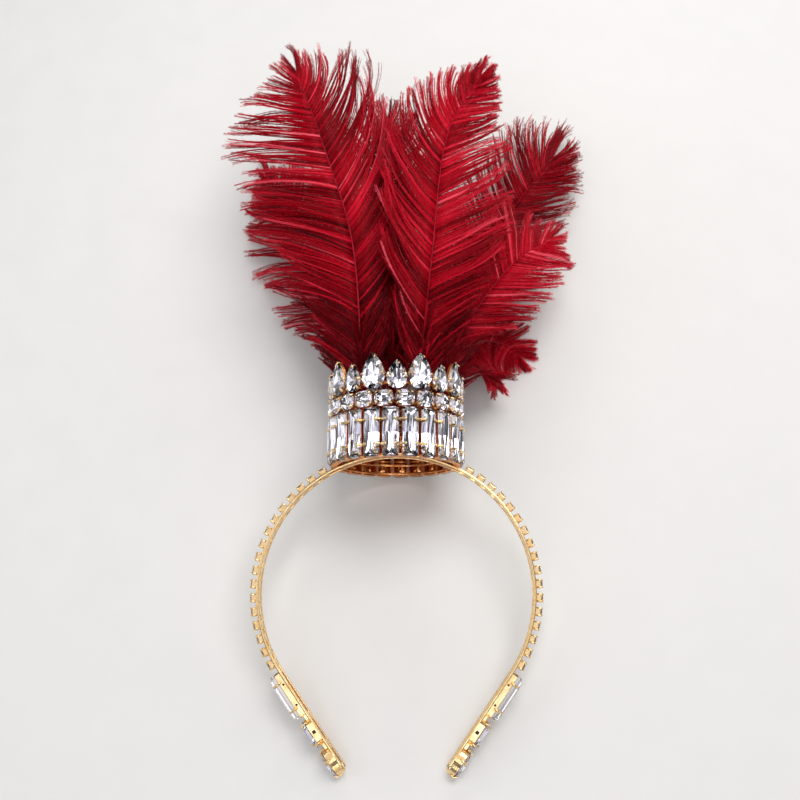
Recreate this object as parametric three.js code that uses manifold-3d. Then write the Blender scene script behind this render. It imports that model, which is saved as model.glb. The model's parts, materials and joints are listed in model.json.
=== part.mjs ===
// Carnival feather headdress: a crystal headband with a small round crown that holds ostrich plumes.
// It lies on its back, resting on the crown's rear rim, the band's two tips and the rear plumes.
// Millimetres, +Z up, +Y from the band's tips towards the plumes.
import * as THREE from 'three';
import { ConvexGeometry } from 'three/addons/geometries/ConvexGeometry.js';
import { mergeVertices } from 'three/addons/utils/BufferGeometryUtils.js';
import Module from 'manifold-3d';

const wasm = await Module();
wasm.setup();

// Driving dimensions of the headband. Its own frame has x to the right, y up the crown's axis
// from the crown's lower rim, and z to the front.
const BAND_INNER_RADIUS = 67.6;
const BAND_CENTRE_Y = -62;
const BAND_WIDTH = 9;
const RAIL = 1.4;
const ARC_END = THREE.MathUtils.degToRad(125);
const ARM_LENGTH = 54;
const PATH_RADIUS = BAND_INNER_RADIUS + RAIL / 2;
const ARC_LENGTH = PATH_RADIUS * ARC_END;
const PATH_LENGTH = ARC_LENGTH + ARM_LENGTH;
const STRIP_END = 27;
const STRIP_THICKNESS = 1;
const RAIL_STEPS = 60;
const STRIP_STEPS = 10;

// Rungs and claw cups along the band.
const CUPS_PER_ARM = 17;
const FIRST_CUP = 37.9;
const CUP_PITCH = 6.58;
const CUP_TOP = 4.1;
const CUP_BASE = 3.7;
const CUP_HEIGHT = 3.6;
const CUP_POCKET = { side: 3.2, depth: 1.2, past: 1 };
const RUNG_LENGTH = 4;
const RUNG_THICKNESS = 0.9;

// Settings and stones at the band's ends: place of the middle along the band, length and width.
const END_WALL = 0.8;
const END_HEIGHT = 2.2;
const END_STONES = [
  { name: 'end_baguette', cut: 'octagon', middle: 160.2, length: 24, width: 8, corner: 0.8 },
  { name: 'end_octagon', cut: 'octagon', middle: 181.2, length: 13.6, width: 9.6, corner: 2.4 },
  { name: 'end_pear', cut: 'pear', middle: 197.8, length: 14, width: 9.6, corner: 0 },
];
const SIDE_HOLE = { radius: 0.6, reach: 5.75, sides: 8 };
// Blocks that join the end settings: places of their middles along the band.
const LINK_PLACES = [173.3, 189.4];
const LINK = { length: 3.4, width: 7, low: -0.3, high: 2.2 };

// Stone cut, measured from the girdle: height of the table, depth of the back, and their outlines.
const CUT = { table: 1.8, back: 2, tableInset: 1.8, backInset: 1.3 };
const SEAT_GAP = 0.3;

// Crown: distance from its axis to the girdle planes, and its rows from the bottom up.
const GIRDLE_RADIUS = 33;
const BAGUETTE = { count: 22, width: 8, height: 24, corner: 0.8, bottom: 0.3, turn: -2.2 };
const OCTAGON = { count: 20, width: 9.4, height: 7.8, corner: 2, bottom: 25, turn: 9.8 };
const PEAR = { count: 18, bottom: 33.2, turn: 2.9 };
const LARGE_PEAR = { width: 12, height: 18 };
const SMALL_PEAR = { width: 9.8, height: 14 };
const PEAR_SIDES = 12;
// Greatest value of sin(a) * sin(a / 2), which the pear's outline follows.
const PEAR_ROUND = 0.77;
const WEB = { middle: 12.3, height: 1.6, inner: 31.3, outer: 32.1, width: 3.4 };

// Crown frame: hoops behind the stones, posts in the gaps and claws that fold over the stones' edges.
const HOOP = { inner: 29.3, outer: 30.6, sides: 40 };
const HOOP_SPANS = [[0.85, 2.45], [18, 19.4], [28.2, 29.8], [37.4, 38.8]];
const POST_WIDTH = 1.1;
const CLAW = { stemStart: 30, barThickness: 0.7, height: 0.9 };
const CLAW_ROWS = [
  { row: BAGUETTE, at: 6.3, stem: 0.7, reach: 1.25, bar: 34.15 },
  { row: BAGUETTE, at: 18.7, stem: 0.7, reach: 1.25, bar: 34.15 },
  { row: OCTAGON, at: 29, stem: 0.45, reach: 1, bar: 34.15 },
  { row: PEAR, at: 36, stem: 0.7, reach: 1.5, bar: 34.55 },
  { row: PEAR, at: 42.6, stem: 0.7, reach: 1.7, bar: 34.55 },
];
const PEAR_GAP_SHIFT = 0.0475;
const POST_ROWS = [
  { row: BAGUETTE, from: 0.85, to: 28.8 },
  { row: PEAR, from: 29, to: 43 },
];

// Plumes: the quill's foot on the band, three points that its shaft passes, the widest half-widths of
// the vane to the left and right, and how far its sides fall back from the shaft.
const QUILL_RADIUS = 1;
// The vane's sections turn with the shaft only in part, so that they don't cross on the inside of its bend.
const VANE = { start: 0.25, open: 0.4, widest: 0.45, tip: 0.3, stations: 12, straight: 0.75 };
const VANE_HALF = { rim: 0.35, middle: 0.75, spine: 1.1 };
const FLOOR_GAP = 0.2;
const FLOOR_SOFTNESS = 2.5;
const PLUMES = [
  { name: 'plume_front_left', foot: [-17, 3], shaft: [[-18, 57, 4], [-23, 120, 5], [-39, 176, 0]],
    tip: [-58, 234, -10], left: 56, right: 34, fall: 9 },
  { name: 'plume_front_right', foot: [13, 3], shaft: [[14, 59, 7], [19, 108, 15], [27, 174, 13]],
    tip: [46, 218, 3], left: 30, right: 38, fall: 6 },
  { name: 'plume_centre', foot: [-2, -2.5], shaft: [[-2, 59, -3], [-3, 115, -10], [-4, 164, -16]],
    tip: [-6, 212, -24], left: 26, right: 26, fall: 3 },
  { name: 'plume_back_left', foot: [-21, -2.5], shaft: [[-26, 59, -9], [-44, 108, -37], [-66, 158, -58]],
    tip: [-84, 196, -70], left: 28, right: 32, fall: 14 },
  { name: 'plume_back_right', foot: [18, -2.5], shaft: [[23, 59, -7], [40, 107, -26], [64, 156, -42]],
    tip: [93, 200, -58], left: 31, right: 30, fall: 9 },
  { name: 'plume_low_right', foot: [20.5, 3], shaft: [[26, 57, 1], [42, 85, -4], [63, 114, -12]],
    tip: [86, 134, -25], left: 24, right: 26, fall: 4 },
  { name: 'plume_droop_right', foot: [23.5, -1], shaft: [[28, 55, -8], [42, 73, -26], [56, 78, -40]],
    tip: [74, 70, -50], left: 18, right: 20, fall: 3 },
];

// Finishes.
const gold = new THREE.MeshStandardMaterial({ color: 0xd9ae5a, metalness: 1, roughness: 0.25 });
const crystal = new THREE.MeshStandardMaterial({ color: 0xe9e9f2, metalness: 0, roughness: 0.05 });
const crimson = new THREE.MeshStandardMaterial({ color: 0xb01028, metalness: 0, roughness: 0.7 });

const MERGE_TOLERANCE = 1e-4;

// Closed mesh to solid, and back to a flat-shaded geometry.
function toSolid(geometry) {
  const bare = geometry.clone();
  bare.deleteAttribute('normal');
  bare.deleteAttribute('uv');
  const merged = mergeVertices(bare, MERGE_TOLERANCE);
  const vertProperties = new Float32Array(merged.attributes.position.array);
  const triVerts = new Uint32Array(merged.index.array);
  return new wasm.Manifold(new wasm.Mesh({ numProp: 3, vertProperties, triVerts }));
}

function toGeometry(solid) {
  const mesh = solid.getMesh();
  const geometry = new THREE.BufferGeometry();
  geometry.setAttribute('position', new THREE.BufferAttribute(mesh.vertProperties, 3));
  geometry.setIndex(new THREE.BufferAttribute(mesh.triVerts, 1));
  const flat = geometry.toNonIndexed();
  flat.computeVertexNormals();
  return flat;
}

function join(geometries) {
  return geometries.map(toSolid).reduce((whole, piece) => whole.add(piece));
}

// Box between two corners.
function box(low, high) {
  const [x, y, z] = high.map((value, i) => value - low[i]);
  const geometry = new THREE.BoxGeometry(x, y, z);
  return geometry.translate(...low.map((value, i) => (value + high[i]) / 2));
}

// Skin through a list of closed sections, turned so that its faces point out. Strips between opposite corners
// close both ends, which keeps the end of a bowed section inside it.
function loft(sections) {
  const sides = sections[0].length;
  const points = sections.flat();
  const faces = [];
  for (let i = 0; i + 1 < sections.length; i += 1) {
    for (let j = 0; j < sides; j += 1) {
      const a = i * sides + j;
      const b = i * sides + ((j + 1) % sides);
      faces.push([a, b, b + sides], [a, b + sides, a + sides]);
    }
  }
  const last = points.length - sides;
  for (let j = 0; j + 1 < sides / 2; j += 1) {
    const [a, b, c, d] = [j, j + 1, sides - 2 - j, sides - 1 - j];
    faces.push([a, c, b], [a, d, c]);
    faces.push([last + a, last + b, last + c], [last + a, last + c, last + d]);
  }
  const signed = faces.map(([a, b, c]) => points[a].dot(points[b].clone().cross(points[c])));
  const inwards = signed.reduce((sum, value) => sum + value, 0) < 0;
  const index = faces.flatMap(([a, b, c]) => (inwards ? [a, c, b] : [a, b, c]));
  const geometry = new THREE.BufferGeometry().setFromPoints(points);
  geometry.setIndex(index);
  return geometry;
}

// Point on the band's path at a length from the top, with the way along it and the way out from the head.
// A negative length goes down the left arm.
function bandFrame(length) {
  const side = Math.sign(length) || 1;
  const turn = Math.min(Math.abs(length) / PATH_RADIUS, ARC_END);
  const past = Math.max(Math.abs(length) - ARC_LENGTH, 0);
  const out = new THREE.Vector3(side * Math.sin(turn), Math.cos(turn), 0);
  const along = new THREE.Vector3(side * Math.cos(turn), -Math.sin(turn), 0);
  const point = out.clone().multiplyScalar(PATH_RADIUS);
  point.y += BAND_CENTRE_Y;
  return { point: point.addScaledVector(along, past), along, out };
}

// Sets a geometry made with x along the band, y out from the head and z across it at its place.
function onBand(geometry, length) {
  const { point, along, out } = bandFrame(length);
  const across = new THREE.Vector3().crossVectors(along, out);
  const basis = new THREE.Matrix4().makeBasis(along, out, across);
  return geometry.applyMatrix4(basis.setPosition(point));
}

// Flat bar of a rectangular section that follows the band's path between two lengths.
function bandBar(from, to, steps, lowOut, highOut, lowZ, highZ) {
  const corners = [[lowOut, lowZ], [highOut, lowZ], [highOut, highZ], [lowOut, highZ]];
  const sections = [];
  for (let i = 0; i <= steps; i += 1) {
    const { point, out } = bandFrame(from + ((to - from) * i) / steps);
    sections.push(corners.map(([rise, z]) => {
      const corner = point.clone().addScaledVector(out, rise);
      corner.z = z;
      return corner;
    }));
  }
  return loft(sections);
}

// Outline of an octagon or long baguette, with x along its length.
function octagonOutline(length, width, corner) {
  const x = length / 2;
  const y = width / 2;
  const quarter = [[x, y - corner], [x - corner, y]];
  const half = [...quarter, ...quarter.map(([a, b]) => [-a, b]).reverse()];
  return [...half, ...half.map(([a, b]) => [-a, -b])].map(([a, b]) => new THREE.Vector2(a, b));
}

// Outline of a pear, with x along its length and the point towards +x.
function pearOutline(length, width) {
  const outline = [];
  for (let i = 0; i < PEAR_SIDES; i += 1) {
    const turn = (2 * Math.PI * i) / PEAR_SIDES;
    const round = (Math.sin(turn) * Math.sin(turn / 2)) / PEAR_ROUND;
    outline.push(new THREE.Vector2((length / 2) * Math.cos(turn), (width / 2) * round));
  }
  return outline;
}

function stoneOutline({ cut, length, width, corner }) {
  return cut === 'pear' ? pearOutline(length, width) : octagonOutline(length, width, corner);
}

// Outline drawn in by the same width all round its length and width.
function inset(outline, { length, width }, amount) {
  const x = 1 - (2 * amount) / length;
  const y = 1 - (2 * amount) / width;
  return outline.map((p) => new THREE.Vector2(p.x * x, p.y * y));
}

// Cut stone with its length along x, its table towards +y and its girdle at y = 0.
function stone(spec) {
  const girdle = stoneOutline(spec);
  const table = inset(girdle, spec, CUT.tableInset);
  const back = inset(girdle, spec, CUT.backInset);
  const levels = [[table, CUT.table], [girdle, 0], [back, -CUT.back]];
  const points = levels.flatMap(([outline, y]) => outline.map((p) => new THREE.Vector3(p.x, y, p.y)));
  return new ConvexGeometry(points);
}

// Headband: rails, the plain strip under the crown, rungs with cups, and the end settings with their links.
function cup() {
  const corners = [];
  for (const x of [-0.5, 0.5]) {
    for (const z of [-0.5, 0.5]) {
      corners.push(new THREE.Vector3(x * CUP_BASE, 0, z * CUP_BASE));
      corners.push(new THREE.Vector3(x * CUP_TOP, CUP_HEIGHT, z * CUP_TOP));
    }
  }
  return new ConvexGeometry(corners);
}

function cupPocket() {
  const half = CUP_POCKET.side / 2;
  return box([-half, CUP_HEIGHT - CUP_POCKET.depth, -half], [half, CUP_HEIGHT + CUP_POCKET.past, half]);
}

function endSetting(spec) {
  const outer = stoneOutline(spec);
  const wall = new THREE.Shape(outer);
  wall.holes.push(new THREE.Path(inset(outer, spec, END_WALL).reverse()));
  const geometry = new THREE.ExtrudeGeometry(wall, { depth: END_HEIGHT, bevelEnabled: false });
  return geometry.rotateX(-Math.PI / 2);
}

function sideHole(along) {
  const { radius, sides } = SIDE_HOLE;
  const drill = new THREE.CylinderGeometry(radius, radius, 3 * BAND_WIDTH, sides);
  return drill.rotateX(Math.PI / 2).translate(along, 1.25 * radius + RAIL / 2, 0);
}

function headband() {
  const edge = BAND_WIDTH / 2;
  const strip = STRIP_THICKNESS / 2;
  const stripEdge = edge - RAIL / 2;
  const bars = [
    bandBar(-PATH_LENGTH, PATH_LENGTH, RAIL_STEPS, -RAIL / 2, RAIL / 2, edge - RAIL, edge),
    bandBar(-PATH_LENGTH, PATH_LENGTH, RAIL_STEPS, -RAIL / 2, RAIL / 2, -edge, RAIL - edge),
    bandBar(-STRIP_END, STRIP_END, STRIP_STEPS, -strip, strip, -stripEdge, stripEdge),
  ];
  const cuts = [];
  for (const side of [-1, 1]) {
    for (let i = 0; i < CUPS_PER_ARM; i += 1) {
      const place = side * (FIRST_CUP + i * CUP_PITCH);
      const rung = box([-RUNG_LENGTH / 2, -RUNG_THICKNESS / 2, RAIL / 2 - edge],
        [RUNG_LENGTH / 2, RUNG_THICKNESS / 2, edge - RAIL / 2]);
      bars.push(onBand(rung, place), onBand(cup(), place));
      cuts.push(onBand(cupPocket(), place));
    }
    for (const spec of END_STONES) {
      bars.push(onBand(endSetting(spec), side * spec.middle));
    }
    for (const middle of LINK_PLACES) {
      const block = box([-LINK.length / 2, LINK.low, -LINK.width / 2],
        [LINK.length / 2, LINK.high, LINK.width / 2]);
      bars.push(onBand(block, side * middle));
    }
    const long = END_STONES[0];
    cuts.push(onBand(sideHole(-SIDE_HOLE.reach), side * long.middle));
    cuts.push(onBand(sideHole(SIDE_HOLE.reach), side * long.middle));
  }
  return toGeometry(join(bars).subtract(join(cuts)));
}

function endStone(spec, side) {
  const seated = stone(spec).translate(0, END_HEIGHT + SEAT_GAP + CUT.back, 0);
  return onBand(seated, side * spec.middle);
}

// Crown: sets a geometry made with x to the right, y up and z out from the axis at its turn.
function onCrown(geometry, degrees) {
  return geometry.rotateY(THREE.MathUtils.degToRad(degrees));
}

// Turn of a stone of a row, or of the gap after it with an offset of a half.
function turnOf(row, i, offset = 0) {
  return row.turn + ((i + offset) * 360) / row.count;
}

// Stone standing in a row: its length runs up, or across for a lying stone.
function standing(spec, bottom) {
  const up = stone(spec).rotateX(Math.PI / 2).rotateZ(Math.PI / 2);
  return up.translate(0, bottom + spec.length / 2, GIRDLE_RADIUS);
}

function lying(spec, bottom) {
  return stone(spec).rotateX(Math.PI / 2).translate(0, bottom + spec.width / 2, GIRDLE_RADIUS);
}

function baguetteRow() {
  const spec = { cut: 'octagon', length: BAGUETTE.height, width: BAGUETTE.width, corner: BAGUETTE.corner };
  const pieces = [];
  for (let i = 0; i < BAGUETTE.count; i += 1) {
    const web = box([-WEB.width / 2, WEB.middle - WEB.height / 2, WEB.inner],
      [WEB.width / 2, WEB.middle + WEB.height / 2, WEB.outer]);
    pieces.push(onCrown(standing(spec, BAGUETTE.bottom), turnOf(BAGUETTE, i)));
    pieces.push(onCrown(web, turnOf(BAGUETTE, i, 0.5)));
  }
  return toGeometry(join(pieces));
}

function octagonStone(i) {
  const spec = { cut: 'octagon', length: OCTAGON.width, width: OCTAGON.height, corner: OCTAGON.corner };
  return onCrown(lying(spec, OCTAGON.bottom), turnOf(OCTAGON, i));
}

function pearStone(i) {
  const size = i % 2 === 0 ? SMALL_PEAR : LARGE_PEAR;
  const spec = { cut: 'pear', length: size.height, width: size.width };
  return onCrown(standing(spec, PEAR.bottom), turnOf(PEAR, i));
}

function hoop([low, high]) {
  const { inner, outer } = HOOP;
  const corners = [[inner, low], [outer, low], [outer, high], [inner, high], [inner, low]];
  return new THREE.LatheGeometry(corners.map(([r, y]) => new THREE.Vector2(r, y)), HOOP.sides);
}

// Place of the gap after a stone of a row: in the middle, but nearer to the small one between pears.
function gapTurn(row, i) {
  const nearer = i % 2 === 0 ? -PEAR_GAP_SHIFT : PEAR_GAP_SHIFT;
  return turnOf(row, i, 0.5 + (row === PEAR ? nearer : 0));
}

// Claw with a stem between two stones and a bar over their edges.
function claw({ at, stem, reach, bar }) {
  const half = CLAW.height / 2;
  const top = bar + CLAW.barThickness;
  const outline = new THREE.Shape([
    [-stem / 2, CLAW.stemStart], [stem / 2, CLAW.stemStart], [stem / 2, bar], [reach, bar],
    [reach, top], [-reach, top], [-reach, bar], [-stem / 2, bar],
  ].map(([x, out]) => new THREE.Vector2(x, -out)));
  const geometry = new THREE.ExtrudeGeometry(outline, { depth: CLAW.height, bevelEnabled: false });
  return geometry.rotateX(-Math.PI / 2).translate(0, at - half, 0);
}

function crownFrame() {
  const pieces = HOOP_SPANS.map(hoop);
  for (const { row, from, to } of POST_ROWS) {
    for (let i = 0; i < row.count; i += 1) {
      const post = box([-POST_WIDTH / 2, from, HOOP.inner], [POST_WIDTH / 2, to, HOOP.outer]);
      pieces.push(onCrown(post, gapTurn(row, i)));
    }
  }
  for (const spec of CLAW_ROWS) {
    for (let i = 0; i < spec.row.count; i += 1) {
      pieces.push(onCrown(claw(spec), gapTurn(spec.row, i)));
    }
  }
  return toGeometry(join(pieces));
}

// Slope at which the headdress lies: the rear rim of the crown and the band's tips meet the surface.
const REAR_RIM = { y: BAGUETTE.bottom + CUT.tableInset, z: GIRDLE_RADIUS + CUT.table };
const TIP_FRAME = bandFrame(PATH_LENGTH);
const LIE_SLOPE = Math.atan((REAR_RIM.z - BAND_WIDTH / 2) / (REAR_RIM.y - TIP_FRAME.point.y));
const FLOOR_UP = new THREE.Vector3(0, Math.sin(LIE_SLOPE), Math.cos(LIE_SLOPE));
const FLOOR_LEVEL = new THREE.Vector3(0, REAR_RIM.y, -REAR_RIM.z).dot(FLOOR_UP);

// Lifts a point that would sink below the surface, softly, so that a plume lies on it.
function rest(point, halfThickness) {
  const least = FLOOR_GAP + halfThickness;
  const over = point.dot(FLOOR_UP) - FLOOR_LEVEL - least;
  const lifted = (over + Math.sqrt(over * over + FLOOR_SOFTNESS * FLOOR_SOFTNESS)) / 2;
  return point.addScaledVector(FLOOR_UP, lifted - over);
}

// Share of the vane's greatest width at a place along it: it opens quickly and narrows to a blunt tip.
function vaneShare(u) {
  const opening = Math.min(u / VANE.open, 1);
  const narrowing = Math.max((u - VANE.widest) / (1 - VANE.widest), 0);
  return Math.sin((Math.PI / 2) * opening) * (1 - (1 - VANE.tip) * narrowing * narrowing);
}

// A quill's foot is level and stands clear of the band's round top, which is highest at the foot's inner edge.
const FOOT_AXIS = new THREE.Vector3(0, 1, 0);

function plume({ foot, shaft, tip, left, right, fall }) {
  const innerEdge = Math.max(Math.abs(foot[0]) - QUILL_RADIUS, 0);
  const footY = BAND_CENTRE_Y + Math.sqrt((PATH_RADIUS + RAIL / 2) ** 2 - innerEdge ** 2) + SEAT_GAP;
  const start = new THREE.Vector3(foot[0], footY, foot[1]);
  const knots = [start, ...[...shaft, tip].map((p) => new THREE.Vector3(...p))];
  const curve = new THREE.CatmullRomCurve3(knots, false, 'centripetal');
  const chord = curve.getPoint(1).sub(curve.getPoint(VANE.start)).normalize();
  const places = [0, VANE.start * 0.5];
  for (let i = 0; i < VANE.stations; i += 1) {
    places.push(VANE.start + ((1 - VANE.start) * i) / (VANE.stations - 1));
  }
  const sections = places.map((t) => {
    const point = curve.getPoint(t);
    const turned = curve.getTangent(t).lerp(chord, VANE.straight).normalize();
    const along = t > 0 ? turned : FOOT_AXIS;
    const front = new THREE.Vector3(0, 0, 1);
    front.addScaledVector(along, -front.dot(along)).normalize();
    const side = new THREE.Vector3().crossVectors(along, front);
    const share = t > VANE.start ? vaneShare((t - VANE.start) / (1 - VANE.start)) : 0;
    const onVane = (s, thickness, face) => {
      const width = Math.max(share * (s < 0 ? left : right), QUILL_RADIUS);
      const back = fall * share * s * s;
      const place = point.clone().addScaledVector(side, s * width).addScaledVector(front, -back);
      return rest(place, thickness).addScaledVector(front, face * thickness);
    };
    const { rim, middle, spine } = VANE_HALF;
    const upper = [[-1, rim], [-0.5, middle], [0, spine], [0.5, middle], [1, rim]];
    const over = upper.map(([s, thickness]) => onVane(s, thickness, 1));
    const under = upper.reverse().map(([s, thickness]) => onVane(s, thickness, -1));
    return [...over, ...under];
  });
  return loft(sections);
}

// Assembly.
const headdress = new THREE.Group();

function add(name, geometry, material) {
  const mesh = new THREE.Mesh(geometry, material);
  mesh.name = name;
  headdress.add(mesh);
}

function number(i) {
  return String(i + 1).padStart(2, '0');
}

add('headband', headband(), gold);
add('crown_frame', crownFrame(), gold);
add('baguette_row', baguetteRow(), crystal);
for (let i = 0; i < OCTAGON.count; i += 1) {
  add(`octagon_${number(i)}`, octagonStone(i), crystal);
}
for (let i = 0; i < PEAR.count; i += 1) {
  add(`pear_${number(i)}`, pearStone(i), crystal);
}
for (const spec of END_STONES) {
  add(`${spec.name}_left`, endStone(spec, -1), crystal);
  add(`${spec.name}_right`, endStone(spec, 1), crystal);
}
for (const spec of PLUMES) {
  add(spec.name, plume(spec), crimson);
}

// Laid down on the surface, with the origin under the middle of its box.
headdress.rotation.x = LIE_SLOPE;
headdress.updateMatrixWorld(true);
const extent = new THREE.Box3().setFromObject(headdress, true);
const middle = extent.getCenter(new THREE.Vector3());
headdress.position.set(-middle.x, -middle.y, -extent.min.z);

export default headdress;
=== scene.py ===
"""Looks of a carnival feather headdress: gold settings, cut stones and dyed ostrich plumes."""
import json
import logging
import math
from dataclasses import dataclass
from enum import Enum

import bpy
import numpy as np
from mathutils import Matrix


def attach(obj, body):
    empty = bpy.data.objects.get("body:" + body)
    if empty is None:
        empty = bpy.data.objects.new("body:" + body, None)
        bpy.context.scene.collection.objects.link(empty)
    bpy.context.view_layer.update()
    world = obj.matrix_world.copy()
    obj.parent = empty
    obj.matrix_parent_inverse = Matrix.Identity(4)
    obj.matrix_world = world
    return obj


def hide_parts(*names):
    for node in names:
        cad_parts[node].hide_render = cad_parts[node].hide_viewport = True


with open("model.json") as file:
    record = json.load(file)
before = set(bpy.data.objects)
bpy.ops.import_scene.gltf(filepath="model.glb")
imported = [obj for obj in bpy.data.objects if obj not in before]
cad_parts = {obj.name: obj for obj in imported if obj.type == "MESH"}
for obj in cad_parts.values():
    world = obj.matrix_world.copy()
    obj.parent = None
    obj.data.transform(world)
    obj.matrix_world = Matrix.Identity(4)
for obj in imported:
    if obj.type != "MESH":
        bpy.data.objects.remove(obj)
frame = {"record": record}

Array = np.ndarray
Point = tuple[float, float, float]
Colour = tuple[float, float, float]
Mesh = tuple[Array, Array]

LOG = logging.getLogger("headdress")
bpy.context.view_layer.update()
BODY = "root"
MM = 0.001


def unit(vectors: Array) -> Array:
    """Divides each vector by its length."""
    return vectors / np.maximum(np.linalg.norm(vectors, axis=-1, keepdims=True), 1e-9)


def smoothstep(low: float, high: float, values: Array) -> Array:
    """Rises smoothly from 0 at low to 1 at high, by 3x^2 - 2x^3."""
    x = np.clip((values - low) / (high - low), 0.0, 1.0)
    return x * x * (3.0 - 2.0 * x)


def outwards(points: Array, faces: Array) -> Array:
    """Turns the triangles of closed shells round if their signed volume is negative.

    Args:
        points: Corners, one row each.
        faces: Triangles as rows of three corner numbers.
    Returns:
        The triangles with their normals outwards.
    """
    a, b, c = (points[faces[:, i]] for i in range(3))
    volume = np.einsum("ij,ij->", a, np.cross(b, c))
    return faces[:, ::-1] if volume < 0 else faces


def grid_faces(rows: int, columns: int, wrap_rows: bool = False) -> Array:
    """Triangles of a grid whose columns close on themselves.

    Args:
        rows: Number of rings.
        columns: Points in a ring.
        wrap_rows: Whether the last ring joins the first.
    Returns:
        Two triangles for each cell, as rows of three corner numbers.
    """
    i, j = np.meshgrid(np.arange(rows if wrap_rows else rows - 1), np.arange(columns), indexing="ij")
    a = i * columns + j
    b = i * columns + (j + 1) % columns
    step = (i + 1) % rows * columns
    c = step + (j + 1) % columns
    d = step + j
    return np.stack([np.stack([a, b, c], -1), np.stack([a, c, d], -1)]).reshape(-1, 3)


def fan(corners: Array) -> Array:
    """Triangles that fill a convex loop of corner numbers from its first corner."""
    first = np.full(len(corners) - 2, corners[0])
    return np.stack([first, corners[1:-1], corners[2:]], -1)


def capped(rows: int, columns: int) -> Array:
    """Triangles of a grid of rings with flat ends: the grid's own, and a fan over the first and last ring."""
    ring = np.arange(columns)
    return np.concatenate([grid_faces(rows, columns), fan(ring[::-1]), fan((rows - 1) * columns + ring)])


def raised(loop: Array, height: float | Array) -> Array:
    """Gives the points of a flat outline a height."""
    return np.column_stack([loop, np.broadcast_to(height, len(loop))])


def mirrored(x: float, y: float) -> Array:
    """Gives a spot in each of the four quarters of an outline."""
    return np.array([(side * x, end * y) for side in (-1, 1) for end in (-1, 1)])


def tubes(paths: Array, radii: Array, sides: int, across: Array, flatness: float = 1.0) -> Mesh:
    """Closed tubes along many paths: point + radius * (cos a * side + flatness * sin a * normal).

    Args:
        paths: Points, shape (tubes, steps, 3).
        radii: Radius at each point, shape (tubes, steps).
        sides: Corners of a section.
        across: A direction for each tube that its section's first axis stays near, shape (tubes, 3).
        flatness: Height of the section over its width.
    Returns:
        Corners and triangles of all the tubes.
    """
    count, steps, _ = paths.shape
    along = unit(np.gradient(paths, axis=1))
    normal = unit(np.cross(along, across[:, None, :]))
    side = np.cross(normal, along)
    turn = np.linspace(0.0, 2.0 * math.pi, sides, endpoint=False)
    ring = np.cos(turn)[:, None] * side[:, :, None, :]
    ring = ring + flatness * np.sin(turn)[:, None] * normal[:, :, None, :]
    points = (paths[:, :, None, :] + radii[:, :, None, None] * ring).reshape(-1, 3)
    faces = capped(steps, sides)[None] + (np.arange(count) * steps * sides)[:, None, None]
    return points, outwards(points, faces.reshape(-1, 3))


def claw_tubes(spots: Array, away: Array, points: Array, sides: int, flatness: float = 1.0) -> Mesh:
    """Claws as tubes: each point is its spot + reach * away, raised to a height.

    Args:
        spots: Place of each claw on the outline.
        away: Direction in which each claw's reach counts.
        points: Columns reach, height and radius, a row for each point of a claw.
        sides: Corners of a section.
        flatness: Height of the section over its width.
    Returns:
        Corners and triangles.
    """
    reach, height, radius = points.T
    flat = spots[:, None] + reach[None, :, None] * away[:, None]
    count = flat.shape[:2]
    paths = np.concatenate([flat, np.broadcast_to(height[None, :, None], (*count, 1))], -1)
    across = raised(np.column_stack([-away[:, 1], away[:, 0]]), 0.0)
    return tubes(paths, np.broadcast_to(radius, count), sides, across, flatness)


def placed(points: Array, faces: Array, frames: Array) -> Mesh:
    """Copies of a shape set in frames: origin + x * right + y * up + z * out.

    Args:
        points: Corners of the shape.
        faces: Its triangles.
        frames: Origin, right, up and out of each copy, shape (copies, 4, 3).
    Returns:
        Corners and triangles of all the copies.
    """
    copies = frames[:, 0, None, :] + np.einsum("vk,nkj->nvj", points, frames[:, 1:, :])
    shifted = faces[None] + (np.arange(len(frames)) * len(points))[:, None, None]
    return copies.reshape(-1, 3), shifted.reshape(-1, 3)


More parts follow.
